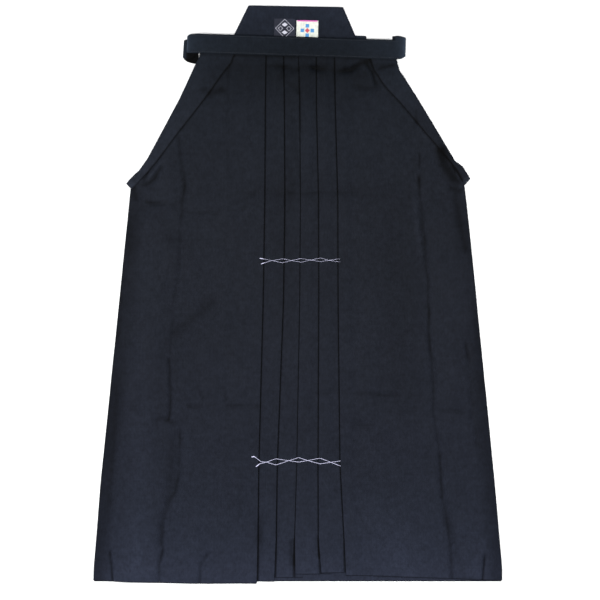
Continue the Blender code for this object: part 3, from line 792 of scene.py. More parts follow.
def pleated_line(leg, row):
    """(s, z, strip, shade) along a front panel at one height. s runs to the centre, where folds face."""
    bottom, middle, top = (BOTTOM_LAYER + number * PITCH for number in range(3))
    folds = [leg.facing * between(FOLD_LINES, row, fold) for fold in leg.folds]
    depth = between(FOLD_LINES, row, "depth")
    climb_start = folds[0] - depth - PLEAT_RUN
    line = wide_strip(leg, row, climb_start)
    gape = 1 + GAPE * eased((GAPE_START - row) / GAPE_REACH)
    inside = HEM_INSIDE_SHADE if row < HEM + HEM_DEPTH else 1.0
    for number, fold in enumerate(folds):
        for share in CLIMB_SHARES:
            s = climb_start + (fold - depth - climb_start) * share
            line.append((s, bottom + (top - bottom) * eased(share * 0.9 + 0.05), number, 0.0))
        for back, puff in ((depth, 0.0), (depth * 0.7, 0.2), (depth * 0.4, 0.7), *FOLD_NEARS):
            line.append((fold - back, top + FOLD_PUFF * puff, number, 0.0))
        fold_turn = turned(fold - FOLD_TIP, top + FOLD_PUFF * 0.4, middle, 1, FOLD_TIP_REACH)
        line += [(s, z, number, shade) for (s, z), shade in zip(fold_turn, FOLD_TURN_SHADES)]
        line += [(fold - depth * share, middle, number, inside) for share in RETURN_PLACES]
        if fold == folds[-1] and not leg.reaches_under:
            return [*line, (fold - depth, middle, number, inside)]
        back_turn = turned(fold - depth + FOLD_RADIUS, middle, bottom, -1)
        line += [(s, z, number + 1, inside) for s, z in back_turn]
        line += [(fold - depth * share, bottom, number + 1, inside) for share in RETURN_PLACES[::-1]]
        for past, dip, shade in UNDER_FOLD:
            line.append((fold + past * gape, bottom - dip, number + 1, shade))
        climb_start = fold + UNDER_FOLD_END
    last_fold = between(FOLD_LINES, row, leg.reaches_under)
    number = len(folds)
    run = last_fold - LAP_START * (2 * gape - 1) - climb_start
    line += [(climb_start + run * i / LAP_CELLS, bottom, number, 0.0) for i in range(LAP_CELLS + 1)]
    for back, shade in LAP_NEARS:
        line.append((last_fold - back * (2 * gape - 1), bottom, number, shade))
    return line + [(last_fold + past, bottom, number, inside) for past in UNDERLAP_PLACES]


def front_leg_lines(leg):
    lines = []
    for row in panel_rows():
        line = []
        faded = 1 - HEM_FADING * eased((HEM_BLEND - row) / HEM_FADING_REACH)
        side_line = between(SIDE_FOLD_LINES, row, leg.side)
        for s, z, strip, shade in pleated_line(leg, row):
            x = leg.facing * s
            y = row + (band_y(x, BAND_TUCK) - WAIST) * waist_share(row)
            if row < HEM_BLEND:
                hem = leg.strip_hems[strip - 1] if strip else between(leg.hem, x, "y")
                y += (hem - HEM) * (row - HEM_BLEND) / (HEM - HEM_BLEND)
            height, painted_shade = relief(x, y)
            if row > SIDE_FOLD_LINES[-1].y:
                painted_shade += FOLD_SHADOW * math.exp(-(((side_line + s) / FOLD_SHADOW_REACH) ** 2))
            level = z + waist_lift(y) + height * eased((WAIST - row) / CREASE_FADE)
            level += HEM_RISE * (1 - eased((row - HEM_STEP_START) / HEM_STEP))
            dark = min(max(shade * faded, band_shadow(x, y), hem_shade(row)) + painted_shade, 1.0)
            line.append(ClothPoint(x, y, max(level, EDGE_MIDDLE), dark))
        lines.append(line[::leg.facing])
    return lines


front_legs = []
for leg in LEGS:
    name, lines = f"front_leg_{leg.side}_cloth", front_leg_lines(leg)
    middle_line = lines[len(lines) // 2][::leg.facing]
    first_fold = next(i for i, point in enumerate(middle_line) if point.shade > 0.9)
    grain = first_fold if leg.facing > 0 else len(middle_line) - 1 - first_fold
    front_leg = woven_sheet(name, lines, CLOTH, navy_cloth, [f"front_leg_{leg.side}"], grain)
    front_legs.append(front_leg)

# The side folds: the cloth beside each side slit is folded over towards the centre and pressed, so that the
# fold narrows from the waistband down to a small tab, which is sewn down where the slit ends.
TAB_STEPS = 5
SIDE_FOLD_LOW = BOTTOM_LAYER + PITCH
SIDE_FOLD_TOP = SIDE_FOLD_LOW + PITCH
SIDE_FOLD_PUFF = 0.35
SIDE_FOLD_HEM = 5.5  # width of the hem that is turned in along the slit
SIDE_FOLD_TURN = 2.2
# Shade painted round a side fold's inner turn where it meets the leg; its hidden hem and return are painted
# in shade too.
SIDE_TURN_SHADES = (0.1, 0.6, 1.0, 1.0, 1.0, 1.0)
TAB_ROOM, SKEW_FADE = 3.0, 30.0  # above a tab, its slant dies out over this height
RETURN_SHARES = (0.82, 0.66)
FLAT_SHARES = (0.0, 0.09, 0.18, 0.27, 0.36, 0.45, 0.55, 0.64, 0.73, 0.82, 0.91, 1.0)
LOWEST_TROUGH = -0.8  # a trough no deeper than this leaves the fold on the leg below it
# A highlight painted on each tab's tip, and the length over which it fades.
TIP_HIGHLIGHT = -0.9
TIP_HIGHLIGHT_LENGTH = 11.0


# The tabs' stations: how far out the outer edge and the inner fold are, and their heights.
TAB_COLUMNS = "outer outer_y inner inner_y"
TABS = {
    "right": rows_of(TAB_COLUMNS, (298, 224, 276.8, 225), (312, 209.5, 292, 209.5), (316, 204, 306.5, 194)),
    "left": rows_of(TAB_COLUMNS, (301, 240, 293, 232), (313, 222, 301.5, 213), (318, 213, 308, 201.5)),
}
# How much darker, or below 0 paler, the top of each side fold is.
SIDE_FOLD_TONES = rows_of(
    "y right left",
    (450, -0.16, -0.16), (365, -0.18, -0.2), (320, -0.26, 0.05), (285, -0.36, 0.16), (240, -0.45, 0.2),
    (218, -0.3, 0.05),
)


def side_fold_section(width):
    """(across, z, shade) round a side fold, from its hem, over the top and to the end of its return."""
    middle_radius = (SIDE_FOLD_TOP - SIDE_FOLD_LOW) / 2
    hem = min(SIDE_FOLD_HEM, width * 0.4)
    section = [(hem, SIDE_FOLD_LOW, 0.6), (hem * 0.5, SIDE_FOLD_LOW, 0.6)]
    outer_turn = turned(middle_radius, SIDE_FOLD_TOP, SIDE_FOLD_LOW, -1)
    section += [(s, z, 0.0) for s, z in outer_turn[::-1]]
    reach = min(SIDE_FOLD_TURN, width * 0.15)
    start, end = middle_radius * 2, width - reach * 2
    for share in FLAT_SHARES:
        place = start + (end - start) * share
        crown = SIDE_FOLD_PUFF * math.sin(math.pi * place / width) ** 0.5
        section.append((place, SIDE_FOLD_TOP + crown, 0.0))
    inner_top = SIDE_FOLD_TOP + SIDE_FOLD_PUFF * 0.4
    inner_turn = turned(width - reach, inner_top, SIDE_FOLD_LOW, 1, reach + 0.7)
    section += [(s, z, shade) for (s, z), shade in zip(inner_turn, SIDE_TURN_SHADES)]
    section += [((width - reach) * share, SIDE_FOLD_LOW, 1.0) for share in RETURN_SHARES]
    return section


def side_fold_stations(side):
    """Outer and inner points of a side fold, from the tab's end up to the waistband."""
    tab = TABS[side]
    stations = []
    for low, high in zip(tab[::-1], tab[-2::-1]):
        for step in range(TAB_STEPS):
            share = step / TAB_STEPS
            stations.append(tuple(a + (b - a) * share for a, b in zip(low, high)))
    top = tab[0]
    for row in panel_rows():
        if row > top.outer_y + TAB_ROOM:
            inner_y = row - (top.outer_y - top.inner_y) * (1 - eased((row - top.outer_y) / SKEW_FADE))
            inner = between(SIDE_FOLD_LINES, inner_y, side)
            stations.append((between(SIDE_EDGES, row, side), row, inner, inner_y))
    return stations


def side_fold_lines(side, facing):
    lines = []
    tip = TABS[side][-1]
    for outer, outer_y, inner, inner_y in side_fold_stations(side):
        width = math.hypot(outer - inner, outer_y - inner_y)
        painted_light_and_shade = TIP_HIGHLIGHT * (1 - eased(math.hypot(outer - tip.outer, outer_y - tip.outer_y) / TIP_HIGHLIGHT_LENGTH))
        line = []
        for across, z, shade in side_fold_section(width):
            share = across / width
            x = -facing * (outer + (inner - outer) * share)
            y = outer_y + (inner_y - outer_y) * share
            y += (band_y(x, BAND_TUCK) - WAIST) * waist_share(y)
            height, painted_shade = relief(x, y)
            height = max(height, LOWEST_TROUGH) * eased((WAIST - outer_y) / CREASE_FADE)
            toned = between(SIDE_FOLD_TONES, outer_y, side) * (1 - shade)
            dark = min(max(shade, band_shadow(x, y)) + painted_shade + painted_light_and_shade + toned, 1.0)
            line.append(ClothPoint(x, y, z + waist_lift(y) + height, dark))
        lines.append(line[::facing])
    return lines


side_folds = {}
for side, facing in SIDES:
    name, lines = f"side_fold_{side}_cloth", side_fold_lines(side, facing)
    side_folds[side] = woven_sheet(name, lines, CLOTH, navy_cloth, [f"side_fold_{side}"])

# The back board: a stiff trapezium of pasted board, covered in the same cloth drawn tight round its edges.
# The back legs and the back straps are sewn to its lower edge and corners.
BOARD_THICK = 4.5
BOARD_ROUNDING = 1.5
BOARD_PUFF = 0.35
BOARD_MIDDLE = (3.0, 489.0)
BOARD_REACH = (112.0, 42.0)  # the cover swells this far from the board's middle
BOARD_CORNERS = (*BOARD_LOWER_EDGE, (83.7, 530.0), (-90.7, 533.1))
BOARD_COLUMNS, BOARD_ROWS = 36, 14
BOARD_NAVY = (0.0111, 0.0131, 0.0219)


def board_place(across, up):
    """A point of the board, with across and up from 0 to 1 inside its four corners."""
    (ax, ay), (bx, by), (cx, cy), (dx, dy) = BOARD_CORNERS
    low = (ax + (bx - ax) * across, ay + (by - ay) * across)
    high = (dx + (cx - dx) * across, dy + (cy - dy) * across)
    return low[0] + (high[0] - low[0]) * up, low[1] + (high[1] - low[1]) * up


def board_puff(x, y):
    """How far the cover stands up over the board at a point."""
    inside = [min(abs(v - m) / r, 1.0) for v, m, r in zip((x, y), BOARD_MIDDLE, BOARD_REACH)]
    return BOARD_PUFF * (1 - inside[0] ** 2) * (1 - inside[1] ** 2)


board_cloth = cloth_finish("board_cloth", BOARD_NAVY, mapped=False)
bm = bmesh.new()
bmesh.ops.create_grid(bm, x_segments=BOARD_COLUMNS, y_segments=BOARD_ROWS, size=1)
for vert in bm.verts:
    x, y = board_place((vert.co.x + 1) / 2, (vert.co.y + 1) / 2)
    vert.co = Vector((x, y, BOARD_THICK)) / 1000
bmesh.ops.solidify(bm, geom=bm.faces[:], thickness=BOARD_THICK / 1000)
rim = [edge for edge in bm.edges if edge.calc_face_angle(0) > math.radians(60)]
bmesh.ops.bevel(
    bm, geom=rim, offset=BOARD_ROUNDING / 1000, segments=4, profile=0.5, affect="EDGES", material=-1
)
for vert in bm.verts:
    if vert.co.z > (BOARD_THICK - 0.1) / 1000:
        vert.co.z += board_puff(vert.co.x * 1000, vert.co.y * 1000) / 1000
bmesh.ops.recalc_face_normals(bm, faces=bm.faces)
back_board = ride_as_finished("back_board_cover", bm, board_cloth, ["back_board"])

# The back straps: flat tubes of doubled cloth, topstitched along both edges, that leave the board's lower
# corners. Each one is folded under near its visible end. The left one is widest where it is sewn on.
STRAP_HALF_THICK = 0.55
# Round a strap: shares of its half width and of its half thickness, with a groove where it is topstitched.
STRAP_EDGE = (
    (-1.0, 0.0), (-0.985, 0.5), (-0.955, 0.88), (-0.9, 1.0), (-0.855, 0.95), (-0.83, 0.72), (-0.805, 0.95),
    (-0.7, 1.05), (-0.35, 1.1),
)
STRAP_FACE = (*STRAP_EDGE, (0.0, 1.12), *((-a, b) for a, b in STRAP_EDGE[::-1]))
STRAP_RING = (*STRAP_FACE, *((a, -b) for a, b in STRAP_FACE[-2:0:-1]))
PATH_STEPS = 7
RIM_SHADE, RIM_START = 0.3, 0.94  # shade painted along a strap's edges, a little darker than its face
BAND_NAVY = (0.0082, 0.0104, 0.0163)


class StrapStation(NamedTuple):
    """One place along a strap's middle, seen from its edge: how far out, how high, and its two edges."""

    out: float
    z: float
    lower: float
    upper: float
    # shade is painted: up to 1 is shadow, below 0 a highlight
    shade: float = 0.0
    slant: float = 0.0  # how much further out the upper edge is than the lower one


# A station's shade paints the shadow inside each strap's fold (up to 1), and highlights on its turned end and
# on the left strap's stub (below 0).
BACK_STRAPS = {
    "right": rows_of(
        StrapStation,
        (126.2, 2.1, 447, 477.2, 0, -14.2), (152, 2.1, 446.8, 477.4), (179, 2.15, 446.6, 473.6, 1),
        (196, 2.6, 433.6, 471.2, 1), (203, 3.2, 433.4, 470.2, 0.9, -0.5),
        (207, 3.4, 434.6, 469.8, -0.4, -1.5), (209.8, 2.8, 436.6, 469.2, -0.5, -2),
        (210.2, 1.8, 437, 468.6, 0, -2), (208.4, 1, 433.6, 467.8, 0.5, -1.5),
        (202.6, 0.65, 429, 466, 1, -0.5), (190, 0.62, 425.6, 463, 1), (182.5, 0.62, 424.6, 461, 1),
    ),
    "left": rows_of(
        StrapStation,
        (113.2, 2.1, 444.8, 477.6, -0.9, -13.6), (125.2, 2.1, 444.5, 477, -0.9),
        (126.6, 2.1, 444.4, 476, -0.5), (127.4, 2.1, 444.2, 467), (150, 2.1, 442.4, 466),
        (173, 2.1, 440.4, 466.4), (188, 2.5, 439, 471.6), (194.6, 2.7, 438.6, 473.4),
        (197.8, 2.1, 438.4, 472.6, 0, -1), (197.6, 1.2, 438.4, 472.8, 0, -1), (194, 0.65, 438.6, 475.4),
        (185, 0.62, 439.2, 477.2), (174.6, 0.62, 440, 476.6),
    ),
}


def gentle_slope(before, after):
    """The slope at a point between two rises, level where they turn, so that a curve never overshoots."""
    return 0.0 if before * after <= 0 else 2 * before * after / (before + after)


def smoothed(stations, steps):
    """Stations on a smooth path through the given ones, with a few between each two."""
    kind = type(stations[0])
    rises = [tuple(b - a for a, b in zip(*pair)) for pair in zip(stations, stations[1:])]
    slopes = [tuple(gentle_slope(a, b) for a, b in zip(*pair)) for pair in zip(rises, rises[1:])]
    slopes = [rises[0], *slopes, rises[-1]]
    path = []
    for number, (start, rise) in enumerate(zip(stations, rises)):
        for step in range(steps):
            t = step / steps
            values = [
                p + r * t * t * (3 - 2 * t) + m * t * (1 - t) ** 2 - n * t * t * (1 - t)
                for p, r, m, n in zip(start, rise, slopes[number], slopes[number + 1])
            ]
            path.append(kind(*values))
    return [*path, stations[-1]]


def close_up(bm):
    """Closes a tube's open ends, and turns its faces outwards."""
    bmesh.ops.holes_fill(bm, edges=[edge for edge in bm.edges if edge.is_boundary], sides=0)
    bmesh.ops.recalc_face_normals(bm, faces=bm.faces)


def strap_tube(name, stations, facing, finish, nodes):
    """A flat closed tube of doubled cloth along stations, whose outside faces away from the turn's centre."""
    columns, sides = len(stations), len(STRAP_RING)
    bm, shade = cloth_grid(columns, sides + 1)
    runs = [0.0]
    for here, there in zip(stations, stations[1:]):
        runs.append(runs[-1] + math.hypot(there.out - here.out, there.z - here.z))
    for number, station in enumerate(stations):
        before, after = stations[max(number - 1, 0)], stations[min(number + 1, columns - 1)]
        run, rise = after.out - before.out, after.z - before.z
        length = math.hypot(run, rise)
        lift_out, lift_z = -rise / length, run / length
        for i in range(sides + 1):
            a, b = STRAP_RING[i % sides]
            out = station.out + station.slant * a / 2 + lift_out * b * STRAP_HALF_THICK
            y = (station.lower + station.upper) / 2 + (station.upper - station.lower) / 2 * a
            z = station.z + lift_z * b * STRAP_HALF_THICK
            vert = bm.verts[i * columns + number]
            vert.co = Vector((-facing * out, y, z)) / 1000
            vert[shade] = station.shade + (RIM_SHADE if abs(a) > RIM_START else 0.0)

    def cloth_place(number):
        station, (a, b) = stations[number % columns], STRAP_RING[number // columns % sides]
        width = station.upper - station.lower
        return runs[number % columns], a * width / 2 + (0 if b >= 0 else width)

    map_cloth(bm, cloth_place)
    bmesh.ops.remove_doubles(bm, verts=bm.verts, dist=1e-6)
    close_up(bm)
    return ride_as_finished(name, bm, finish, nodes)


band_cloth = cloth_finish("band_cloth", BAND_NAVY)
for side, facing in SIDES:
    name, stations = f"back_strap_{side}_cloth", smoothed(BACK_STRAPS[side], PATH_STEPS)
    back_strap = strap_tube(name, stations, facing, band_cloth, [f"back_strap_{side}"])

# The waistband and the front straps: one long flat tube of doubled cloth. It is sewn over the front legs'
# top edges, and past both of their sides it is the front straps, which turn under and lie folded behind.
BAND_MIDDLE_Z = 9.6
BAND_STEPS = 40
BAND_SAG = 0.35
STRAP_INSET = 3.6  # the hidden runs stay above the front legs' top edges


class BandStation(NamedTuple):
    """One place along the band's middle: how far out from the middle, how high, and how narrow it is."""

    out: float
    z: float
    inset: float
    # shade is painted: up to 1 is shadow, below 0 a highlight
    shade: float = 0.0
    drop: float = 0.0  # how far the upper edge lies below the band's line


def hidden_run(end, start):
    """A strap's hidden stations: in from its end on the lower layer, round, and out to where it shows."""
    run = ((end, 6.2), (75, 6.2), (16, 6.2), (9.4, 6.3), (8.7, 6.95), (9.4, 7.6), (16, 7.7), (75, 7.7))
    return rows_of(BandStation, *((out, z, STRAP_INSET) for out, z in (*run, (start, 7.7))))


# At each end, shade up to 1 paints the shadow on the strap's hidden turn, and shade below 0 paints highlights
# on the turned-over end.
BAND_ENDS = {
    "right": hidden_run(140, 145) + rows_of(
        BandStation,
        (165, 7, STRAP_INSET, 0.6), (181, 5.4, STRAP_INSET, 1), (193, 4.5, 4, 1, 6), (200.8, 4.7, 3, 0.8, 7),
        (203.6, 6.2, 1.6, -1.8, 6.5), (203.1, 7.6, 0.9, -2.8, 4.6), (200.2, 8.6, 0.3, -1, 2.4),
        (195, 9.3, 0, -0.5, 0.9), (186, 9.6, 0, -0.3),
    ),
    "left": hidden_run(134, 138) + rows_of(
        BandStation,
        (158, 7, STRAP_INSET, 0.6), (173, 5.6, STRAP_INSET, 1), (186, 4.6, 8, 1, -2), (194.8, 4.7, 9, 0, -3),
        (198.4, 6, 8.4, -3.6, -4), (197.6, 7.4, 5.6, -3.4, -4.8), (193.6, 8.6, 2.6, -1.7, -5.8),
        (187, 9.3, 0.6, -0.7, -6.6), (179.6, 9.55, 0, -0.35, -6.8), (178.6, 9.6, 0, -0.3),
        (170, 9.6, 0, -0.28),
    ),
}
# Light painted on the band's face along it, most towards its ends: below 0 is paler.
BAND_PAINTED_LIGHT = rows_of(
    "x shade",
    (-186, -0.3), (-168, -0.14), (-110, -0.1), (0, -0.02), (96, -0.02), (130, -0.2), (170, -0.28),
)


def band_stations():
    """Stations of the whole strip, from the right strap's hidden end to the left strap's, in +X."""
    slant = -BAND_SLOPE * BAND_WIDTH
    ends = {}
    for side, facing in SIDES:
        ends[side] = []
        for station in smoothed(BAND_ENDS[side], PATH_STEPS):
            x = -facing * station.out
            edges = band_y(x, station.inset), band_y(x, BAND_WIDTH - station.drop)
            ends[side].append(StrapStation(x, station.z, *edges, station.shade, slant))
    start, end = ends["right"][-1].out, ends["left"][-1].out
    middle = []
    for step in range(1, BAND_STEPS):
        x = start + (end - start) * step / BAND_STEPS
        z = BAND_MIDDLE_Z + soft_wave(x, 0, 70, BAND_SAG, 3.5)
        painted_light_and_shade = between(BAND_PAINTED_LIGHT, x, "shade")
        middle.append(StrapStation(x, z, band_y(x, 0), band_y(x, BAND_WIDTH), painted_light_and_shade, slant))
    return [*ends["right"], *middle, *ends["left"][::-1]]


name, nodes = "waistband_and_front_straps", ["front_band", "front_strap_right", "front_strap_left"]
waistband = strap_tube(name, band_stations(), -1, band_cloth, nodes)

# The labels: two small woven squares sewn to the board's inner face, one dark and one pale. Each carries a
# plain geometric motif in raised threads, and the waistband covers their lower edges.
LABEL_THICK = 0.45
LABEL_LIFT = 0.12
LABEL_TILT = math.radians(-1.0)
LABEL_CELLS = 16
LABEL_ROUGHNESS = 0.5
LABEL_THREADS = 4200.0  # for each metre
MOTIF_RAISE, MOTIF_SINK = 0.16, 0.08
MOTIF_RIBS = 2600
LABEL_DARK_NAVY = (0.016, 0.017, 0.032)
LABEL_CREAM = (0.80, 0.76, 0.72)
MOTIF_COLOURS = {
    "white": (0.52, 0.52, 0.60),
    "blue": (0.07, 0.26, 0.56),
    "red": (0.55, 0.07, 0.10),
    "pink": (0.62, 0.13, 0.42),
}


class Motif(NamedTuple):
    """A raised shape on a label, round its centre: a ring of sides, each corner at radius, or a solid one."""

    name: str
    across: float
    up: float
    radius: float
    inner: float
    sides: int
    turned: float
    colour: str
    stretch: tuple = (1.0, 1.0)


LABELS = rows_of(
    "name node left right lower upper colour gloss",
    ("label_dark_patch", "label_dark", -43.3, -4.5, 469.5, 508.2, LABEL_DARK_NAVY, 0.12),
    ("label_pale_patch", "label_pale", -2.3, 37.7, 466, 505, LABEL_CREAM, 0.3),
)
MOTIFS = {
    "label_dark": rows_of(
        Motif,
        ("frame", 0, 1.5, 17.4, 16.2, 4, 0, "white"),
        ("upper_diamond", 0, 8.6, 3.8, 0, 4, 0, "white", (1.5, 1)),
        ("left_diamond", -7.8, 1.4, 4.8, 3.4, 4, 0, "white"),
        ("right_diamond", 7.8, 1.4, 4.8, 3.4, 4, 0, "white"),
        ("lower_diamond", 0, -5.8, 3.8, 0, 4, 0, "white", (1.5, 1)),
    ),
    "label_pale": rows_of(
        Motif,
        ("upper_line", 0, 18.6, 1, 0, 4, 45, "pink", (26, 1.6)),
        ("left_square", -9.2, 1, 4.6, 0, 4, 45, "blue"),
        ("right_square", 9.2, 1, 4.6, 0, 4, 45, "blue"),
        ("upper_square", 0, 9.6, 4.6, 0, 4, 45, "blue"),
        ("lower_square", 0, -7.6, 4.6, 0, 4, 45, "blue"),
        ("middle", 0, 1, 4.6, 0, 4, 0, "red"),
    ),
}


def thread_finish(name, colour, ribs_per_metre):
    """Lustrous sewing thread laid side by side, or twisted, with light and shade painted on the two sides of
    each rib.
    """
    material, tree, shader = finish_tree(name)
    place = tree.node("ShaderNodeTexCoord").outputs["Object"]
    across, up = tree.across_and_up(place)
    slant = tree.maths("ADD", across, tree.times(up, 0.6))
    wave = tree.maths("SINE", tree.times(slant, ribs_per_metre * 2 * math.pi))
    uneven = tree.noised(place, 160, 2)
    tone = tree.times(tree.times_plus(wave, 0.06, 0.84), tree.varied(uneven, 0.3, 1.05))
    surface = {
        "Base Color": tree.scaled(colour, tone),
        "Roughness": tree.varied(uneven, 0.2, 0.55),
        "Specular IOR Level": 0.3,
        "Normal": tree.bumped(wave, 0.4, 0.0001),
    }
    tree.feed(shader, surface)
    return material


def turned_by(angle, x, y):
    return x * math.cos(angle) - y * math.sin(angle), x * math.sin(angle) + y * math.cos(angle)


def label_place(label, across, up, z):
    """A label's own point, turned by its tilt and set in its place."""
    x, y = turned_by(LABEL_TILT, across, up)
    x, y = x + (label.left + label.right) / 2, y + (label.lower + label.upper) / 2
    return x, y, BOARD_THICK + board_puff(x, y) + LABEL_LIFT + z


motif_threads = {
    colour: thread_finish(f"motif_{colour}", shade, MOTIF_RIBS) for colour, shade in MOTIF_COLOURS.items()
}
for label in LABELS:
    half_width, half_height = (label.right - label.left) / 2, (label.upper - label.lower) / 2
    lines = []
    for j in range(LABEL_CELLS + 1):
        up = half_height * (2 * j / LABEL_CELLS - 1)
        line = []
        for i in range(LABEL_CELLS + 1):
            across = half_width * (2 * i / LABEL_CELLS - 1)
            z = LABEL_THICK / 2 + soft_wave(across, up, 14, 0.1, 5.5)
            line.append(ClothPoint(*label_place(label, across, up, z)))
        lines.append(line)
    satin = cloth_finish(f"{label.node}_satin", label.colour, LABEL_ROUGHNESS, LABEL_THREADS, label.gloss)
    patch = woven_sheet(label.name, lines, LABEL_THICK, satin, [label.node])
    for motif in MOTIFS[label.node]:
        bm = bmesh.new()
        bmesh.ops.create_circle(bm, cap_ends=True, segments=motif.sides, radius=motif.radius)
        if motif.inner:
            rim = (motif.radius - motif.inner) * math.cos(math.pi / motif.sides)
            kept = bmesh.ops.inset_region(bm, faces=bm.faces[:], thickness=rim, use_boundary=True)["faces"]
            middle_face = [face for face in bm.faces if face not in kept]
            bmesh.ops.delete(bm, geom=middle_face, context="FACES")
        for vert in bm.verts:
            across, up = turned_by(math.radians(motif.turned), vert.co.x, vert.co.y)
            across, up = motif.across + across * motif.stretch[0], motif.up + up * motif.stretch[1]
            vert.co = Vector(label_place(label, across, up, LABEL_THICK + MOTIF_RAISE)) / 1000
        bm.normal_update()
        if bm.faces[:][0].normal.z < 0:
            bmesh.ops.reverse_faces(bm, faces=bm.faces)
        bmesh.ops.solidify(bm, geom=bm.faces[:], thickness=(MOTIF_RAISE + MOTIF_SINK) / 1000)
        ride_as_finished(f"{label.node}_{motif.name}", bm, motif_threads[motif.colour])

# The basting: white cotton thread, put in by hand to hold the pleats until the garment is first worn. In two
# places a pair of strands crosses back and forth over the folds, with short loose ends at the left.
BASTING_SIDES = 8
BASTING_STEPS = 10
BASTING_WINDOW = 6  # how many steps on either side a strand bridges
BASTING_RISE = 0.5
BASTING_TAPER = 0.55
BASTING_RIBS = 900
BASTING_WHITE = (0.68, 0.68, 0.90)
KNOT_PLACE, KNOT_LENGTH = 4.0, 3.4


# The strands. Each one's left end is bunched up, which makes it thicker by bunching times.
STRANDS = rows_of(
    "name radius bunching points",
    ("upper_basting_a", 0.2, 3,
     ((-70.4, 66.9), (-60, 65.2), (-47.3, 62.5), (-27.6, 58.6), (-11.2, 62.8), (6.2, 66.5), (24.3, 63.6),
      (42.3, 60.8), (58.0, 63.0), (77.8, 66.0))),
    ("upper_basting_b", 0.2, 3,
     ((-68.0, 56.2), (-60, 59.0), (-47.3, 62.5), (-27.6, 66.0), (-11.2, 62.8), (6.2, 59.5), (24.3, 63.6),
      (42.3, 67.4), (58.0, 63.0), (77.8, 60.2))),
    ("lower_basting_a", 0.37, 1.7,
     ((-85.3, -299.7), (-80.3, -298.4), (-73.7, -303.1), (-68.0, -307.9), (-58.0, -308.8), (-39.9, -314.1),
      (-16.1, -306.2), (2.1, -300.4), (18.5, -306.0), (41.6, -312.1), (61.3, -309.1), (79.4, -306.6))),
    ("lower_basting_b", 0.37, 1.7,
     ((-77.0, -317.4), (-70.4, -312.1), (-58.0, -308.8), (-39.9, -302.5), (-16.1, -306.2), (2.1, -308.8),
      (18.5, -306.0), (41.6, -301.4), (61.3, -309.1), (79.4, -316.2))),
)


def shapes_from_above(pieces):
    """A tree of the given pieces' faces, to find what lies highest at a point."""
    together = bmesh.new()
    for piece in pieces:
        together.from_mesh(piece.data)
    tree = BVHTree.FromBMesh(together)
    together.free()
    return tree


def highest_at(tree, x, y):
    """Height of the highest cloth at a point, in millimetres, or None beside the garment."""
    hit = tree.ray_cast(Vector((x / 1000, y / 1000, 0.1)), Vector((0, 0, -1)))[0]
    return None if hit is None else hit.z * 1000


def laid_thread(tree, points, rise):
    """A path over the cloth that bridges what lies lower between two folds."""
    path = [
        (ax + (bx - ax) * i / BASTING_STEPS, ay + (by - ay) * i / BASTING_STEPS)
        for (ax, ay), (bx, by) in zip(points, points[1:])
        for i in range(BASTING_STEPS)
    ]
    path.append(points[-1])
    for number in range(1, len(path) - 1):
        before, here, after = path[number - 1 : number + 2]
        path[number] = ((before[0] + after[0]) / 2, (before[1] + here[1] * 2 + after[1]) / 4)

    def near(values, i):
        return values[max(i - BASTING_WINDOW, 0) : i + BASTING_WINDOW + 1]

    heights = [highest_at(tree, x, y) or 0.0 for x, y in path]
    bridged = [max(near(heights, i)) for i in range(len(path))]
    laid = []
    for i, (x, y) in enumerate(path):
        close_by = near(bridged, i)
        laid.append(Vector((x, y, max(sum(close_by) / len(close_by), heights[i]) + rise)))
    return laid


def thread_tube(bm, path, radius, bunching):
    """Adds a round closed tube along a path to a bmesh, thicker where its first end is bunched."""
    columns = len(path)
    made = bmesh.ops.create_grid(bm, x_segments=columns - 1, y_segments=BASTING_SIDES, size=1)["verts"]
    for number, centre in enumerate(path):
        before, after = path[max(number - 1, 0)], path[min(number + 1, columns - 1)]
        along = (after - before).normalized()
        aside = along.cross(Vector((0, 0, 1))).normalized()
        upward = aside.cross(along)
        bunch = bunching * math.exp(-((((centre - path[0]).length - KNOT_PLACE) / KNOT_LENGTH) ** 2))
        taper = (BASTING_TAPER if number in (0, columns - 1) else 1.0) * (1 + bunch)
        for i in range(BASTING_SIDES + 1):
            angle = 2 * math.pi * i / BASTING_SIDES
            offset = aside * math.cos(angle) + upward * (math.sin(angle) + bunch / taper)
            made[i * columns + number].co = (centre + offset * radius * taper) / 1000
    bmesh.ops.remove_doubles(bm, verts=made, dist=1e-6)


front_tree = shapes_from_above(front_legs)
basting_thread = thread_finish("basting_cotton", BASTING_WHITE, BASTING_RIBS)
for strand in STRANDS:
    over = 0.0 if strand.name.endswith("a") else 2 * strand.radius
    path = laid_thread(front_tree, strand.points, BASTING_RISE + over * 0.6)
    bm = bmesh.new()
    thread_tube(bm, path, strand.radius, strand.bunching)
    close_up(bm)
    ride_as_finished(strand.name, bm, basting_thread)

# The stitching: navy thread. A machine topstitches the band and tacks the tabs, and small hand stitches catch
# down the hems and the board's cover. Each stitch is a little spindle that dips into the cloth at its ends.
STITCH_NAVY = (0.0095, 0.0115, 0.0180)
STITCH_RIBS = 1500
STITCH_SIDES, STITCH_RINGS = 6, 4
STITCH_FLATNESS = 1.2  # how many times wider than high a stitch is
TOPSTITCH_INSET = 3.0
TOPSTITCH_ENDS = (-196, 186)
TACK_SHARES, TACK_ENDS = (0.35, 0.75), (0.15, 0.85)
COVER_SEAMS = (((0.03, 0.0), (0.03, 1.0)), ((0.02, 0.955), (0.98, 0.955)), ((0.97, 1.0), (0.97, 0.0)))


# Each kind of stitch: its length and radius, and how far apart two stitches start.
TOPSTITCH, TACK_STITCH, HEM_STITCH, COVER_STITCH = rows_of(
    "length radius pitch", (3, 0.26, 3.9), (1.9, 0.28, 2.3), (1.6, 0.24, 11), (2.4, 0.24, 5.2)
)


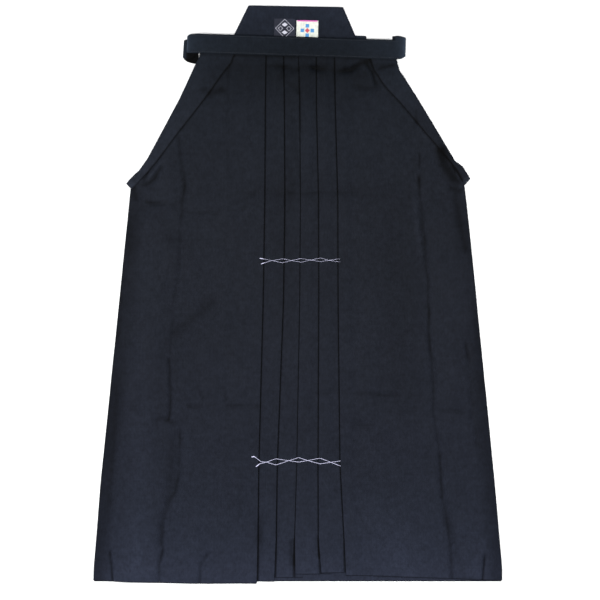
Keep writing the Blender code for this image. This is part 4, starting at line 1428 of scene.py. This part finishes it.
def stitched(name, tree, rows, stitching):
    """A piece made of straight rows of stitches, each on the cloth between two points."""
    bm = bmesh.new()
    for (ax, ay), (bx, by) in rows:
        length = math.hypot(bx - ax, by - ay)
        along = Vector(((bx - ax) / length, (by - ay) / length, 0))
        count = max(int((length - stitching.length) / stitching.pitch), 0) + 1
        for number in range(count):
            near = (number * stitching.pitch, number * stitching.pitch + stitching.length)
            ends = [(ax + along.x * place, ay + along.y * place) for place in near]
            heights = [highest_at(tree, x, y) for x, y in ends]
            if None in heights:
                continue
            foot, tip = (Vector((x, y, z)) for (x, y), z in zip(ends, heights))
            forward = (tip - foot).normalized()
            aside = forward.cross(Vector((0, 0, 1))).normalized()
            upward = aside.cross(forward)
            size = {"u_segments": STITCH_SIDES, "v_segments": STITCH_RINGS, "radius": 1}
            for vert in bmesh.ops.create_uvsphere(bm, **size)["verts"]:
                a, b, c = vert.co
                spread = (aside * a * STITCH_FLATNESS + upward * b) * stitching.radius
                vert.co = ((foot + tip) / 2 + forward * c * stitching.length / 2 + spread) / 1000
    return ride_as_finished(name, bm, stitch_thread)


stitch_thread = thread_finish("navy_sewing_thread", STITCH_NAVY, STITCH_RIBS)
rows = []
for across in (TOPSTITCH_INSET, BAND_WIDTH - TOPSTITCH_INSET):
    rows.append([(x, band_y(x, across)) for x in TOPSTITCH_ENDS])
stitched("band_topstitching", shapes_from_above([waistband]), rows, TOPSTITCH)

hems = [[(x, y + HEM_DEPTH) for x, y in leg.hem] for leg in LEGS]
rows = [row for hem in hems for row in zip(hem, hem[1:])]
stitched("hem_stitches", shapes_from_above(back_legs + front_legs), rows, HEM_STITCH)

for side, facing in SIDES:
    _, middle, tip = TABS[side]
    rows = []
    for share in TACK_SHARES:
        outer = Vector(middle[:2]).lerp(Vector(tip[:2]), share)
        inner = Vector(middle[2:]).lerp(Vector(tip[2:]), share)
        places = [outer.lerp(inner, end) for end in TACK_ENDS]
        rows.append([(-facing * place.x, place.y) for place in places])
    stitched(f"tab_tacks_{side}", shapes_from_above([side_folds[side]]), rows, TACK_STITCH)

rows = [(board_place(*start), board_place(*end)) for start, end in COVER_SEAMS]
stitched("board_cover_stitches", shapes_from_above([back_board]), rows, COVER_STITCH)
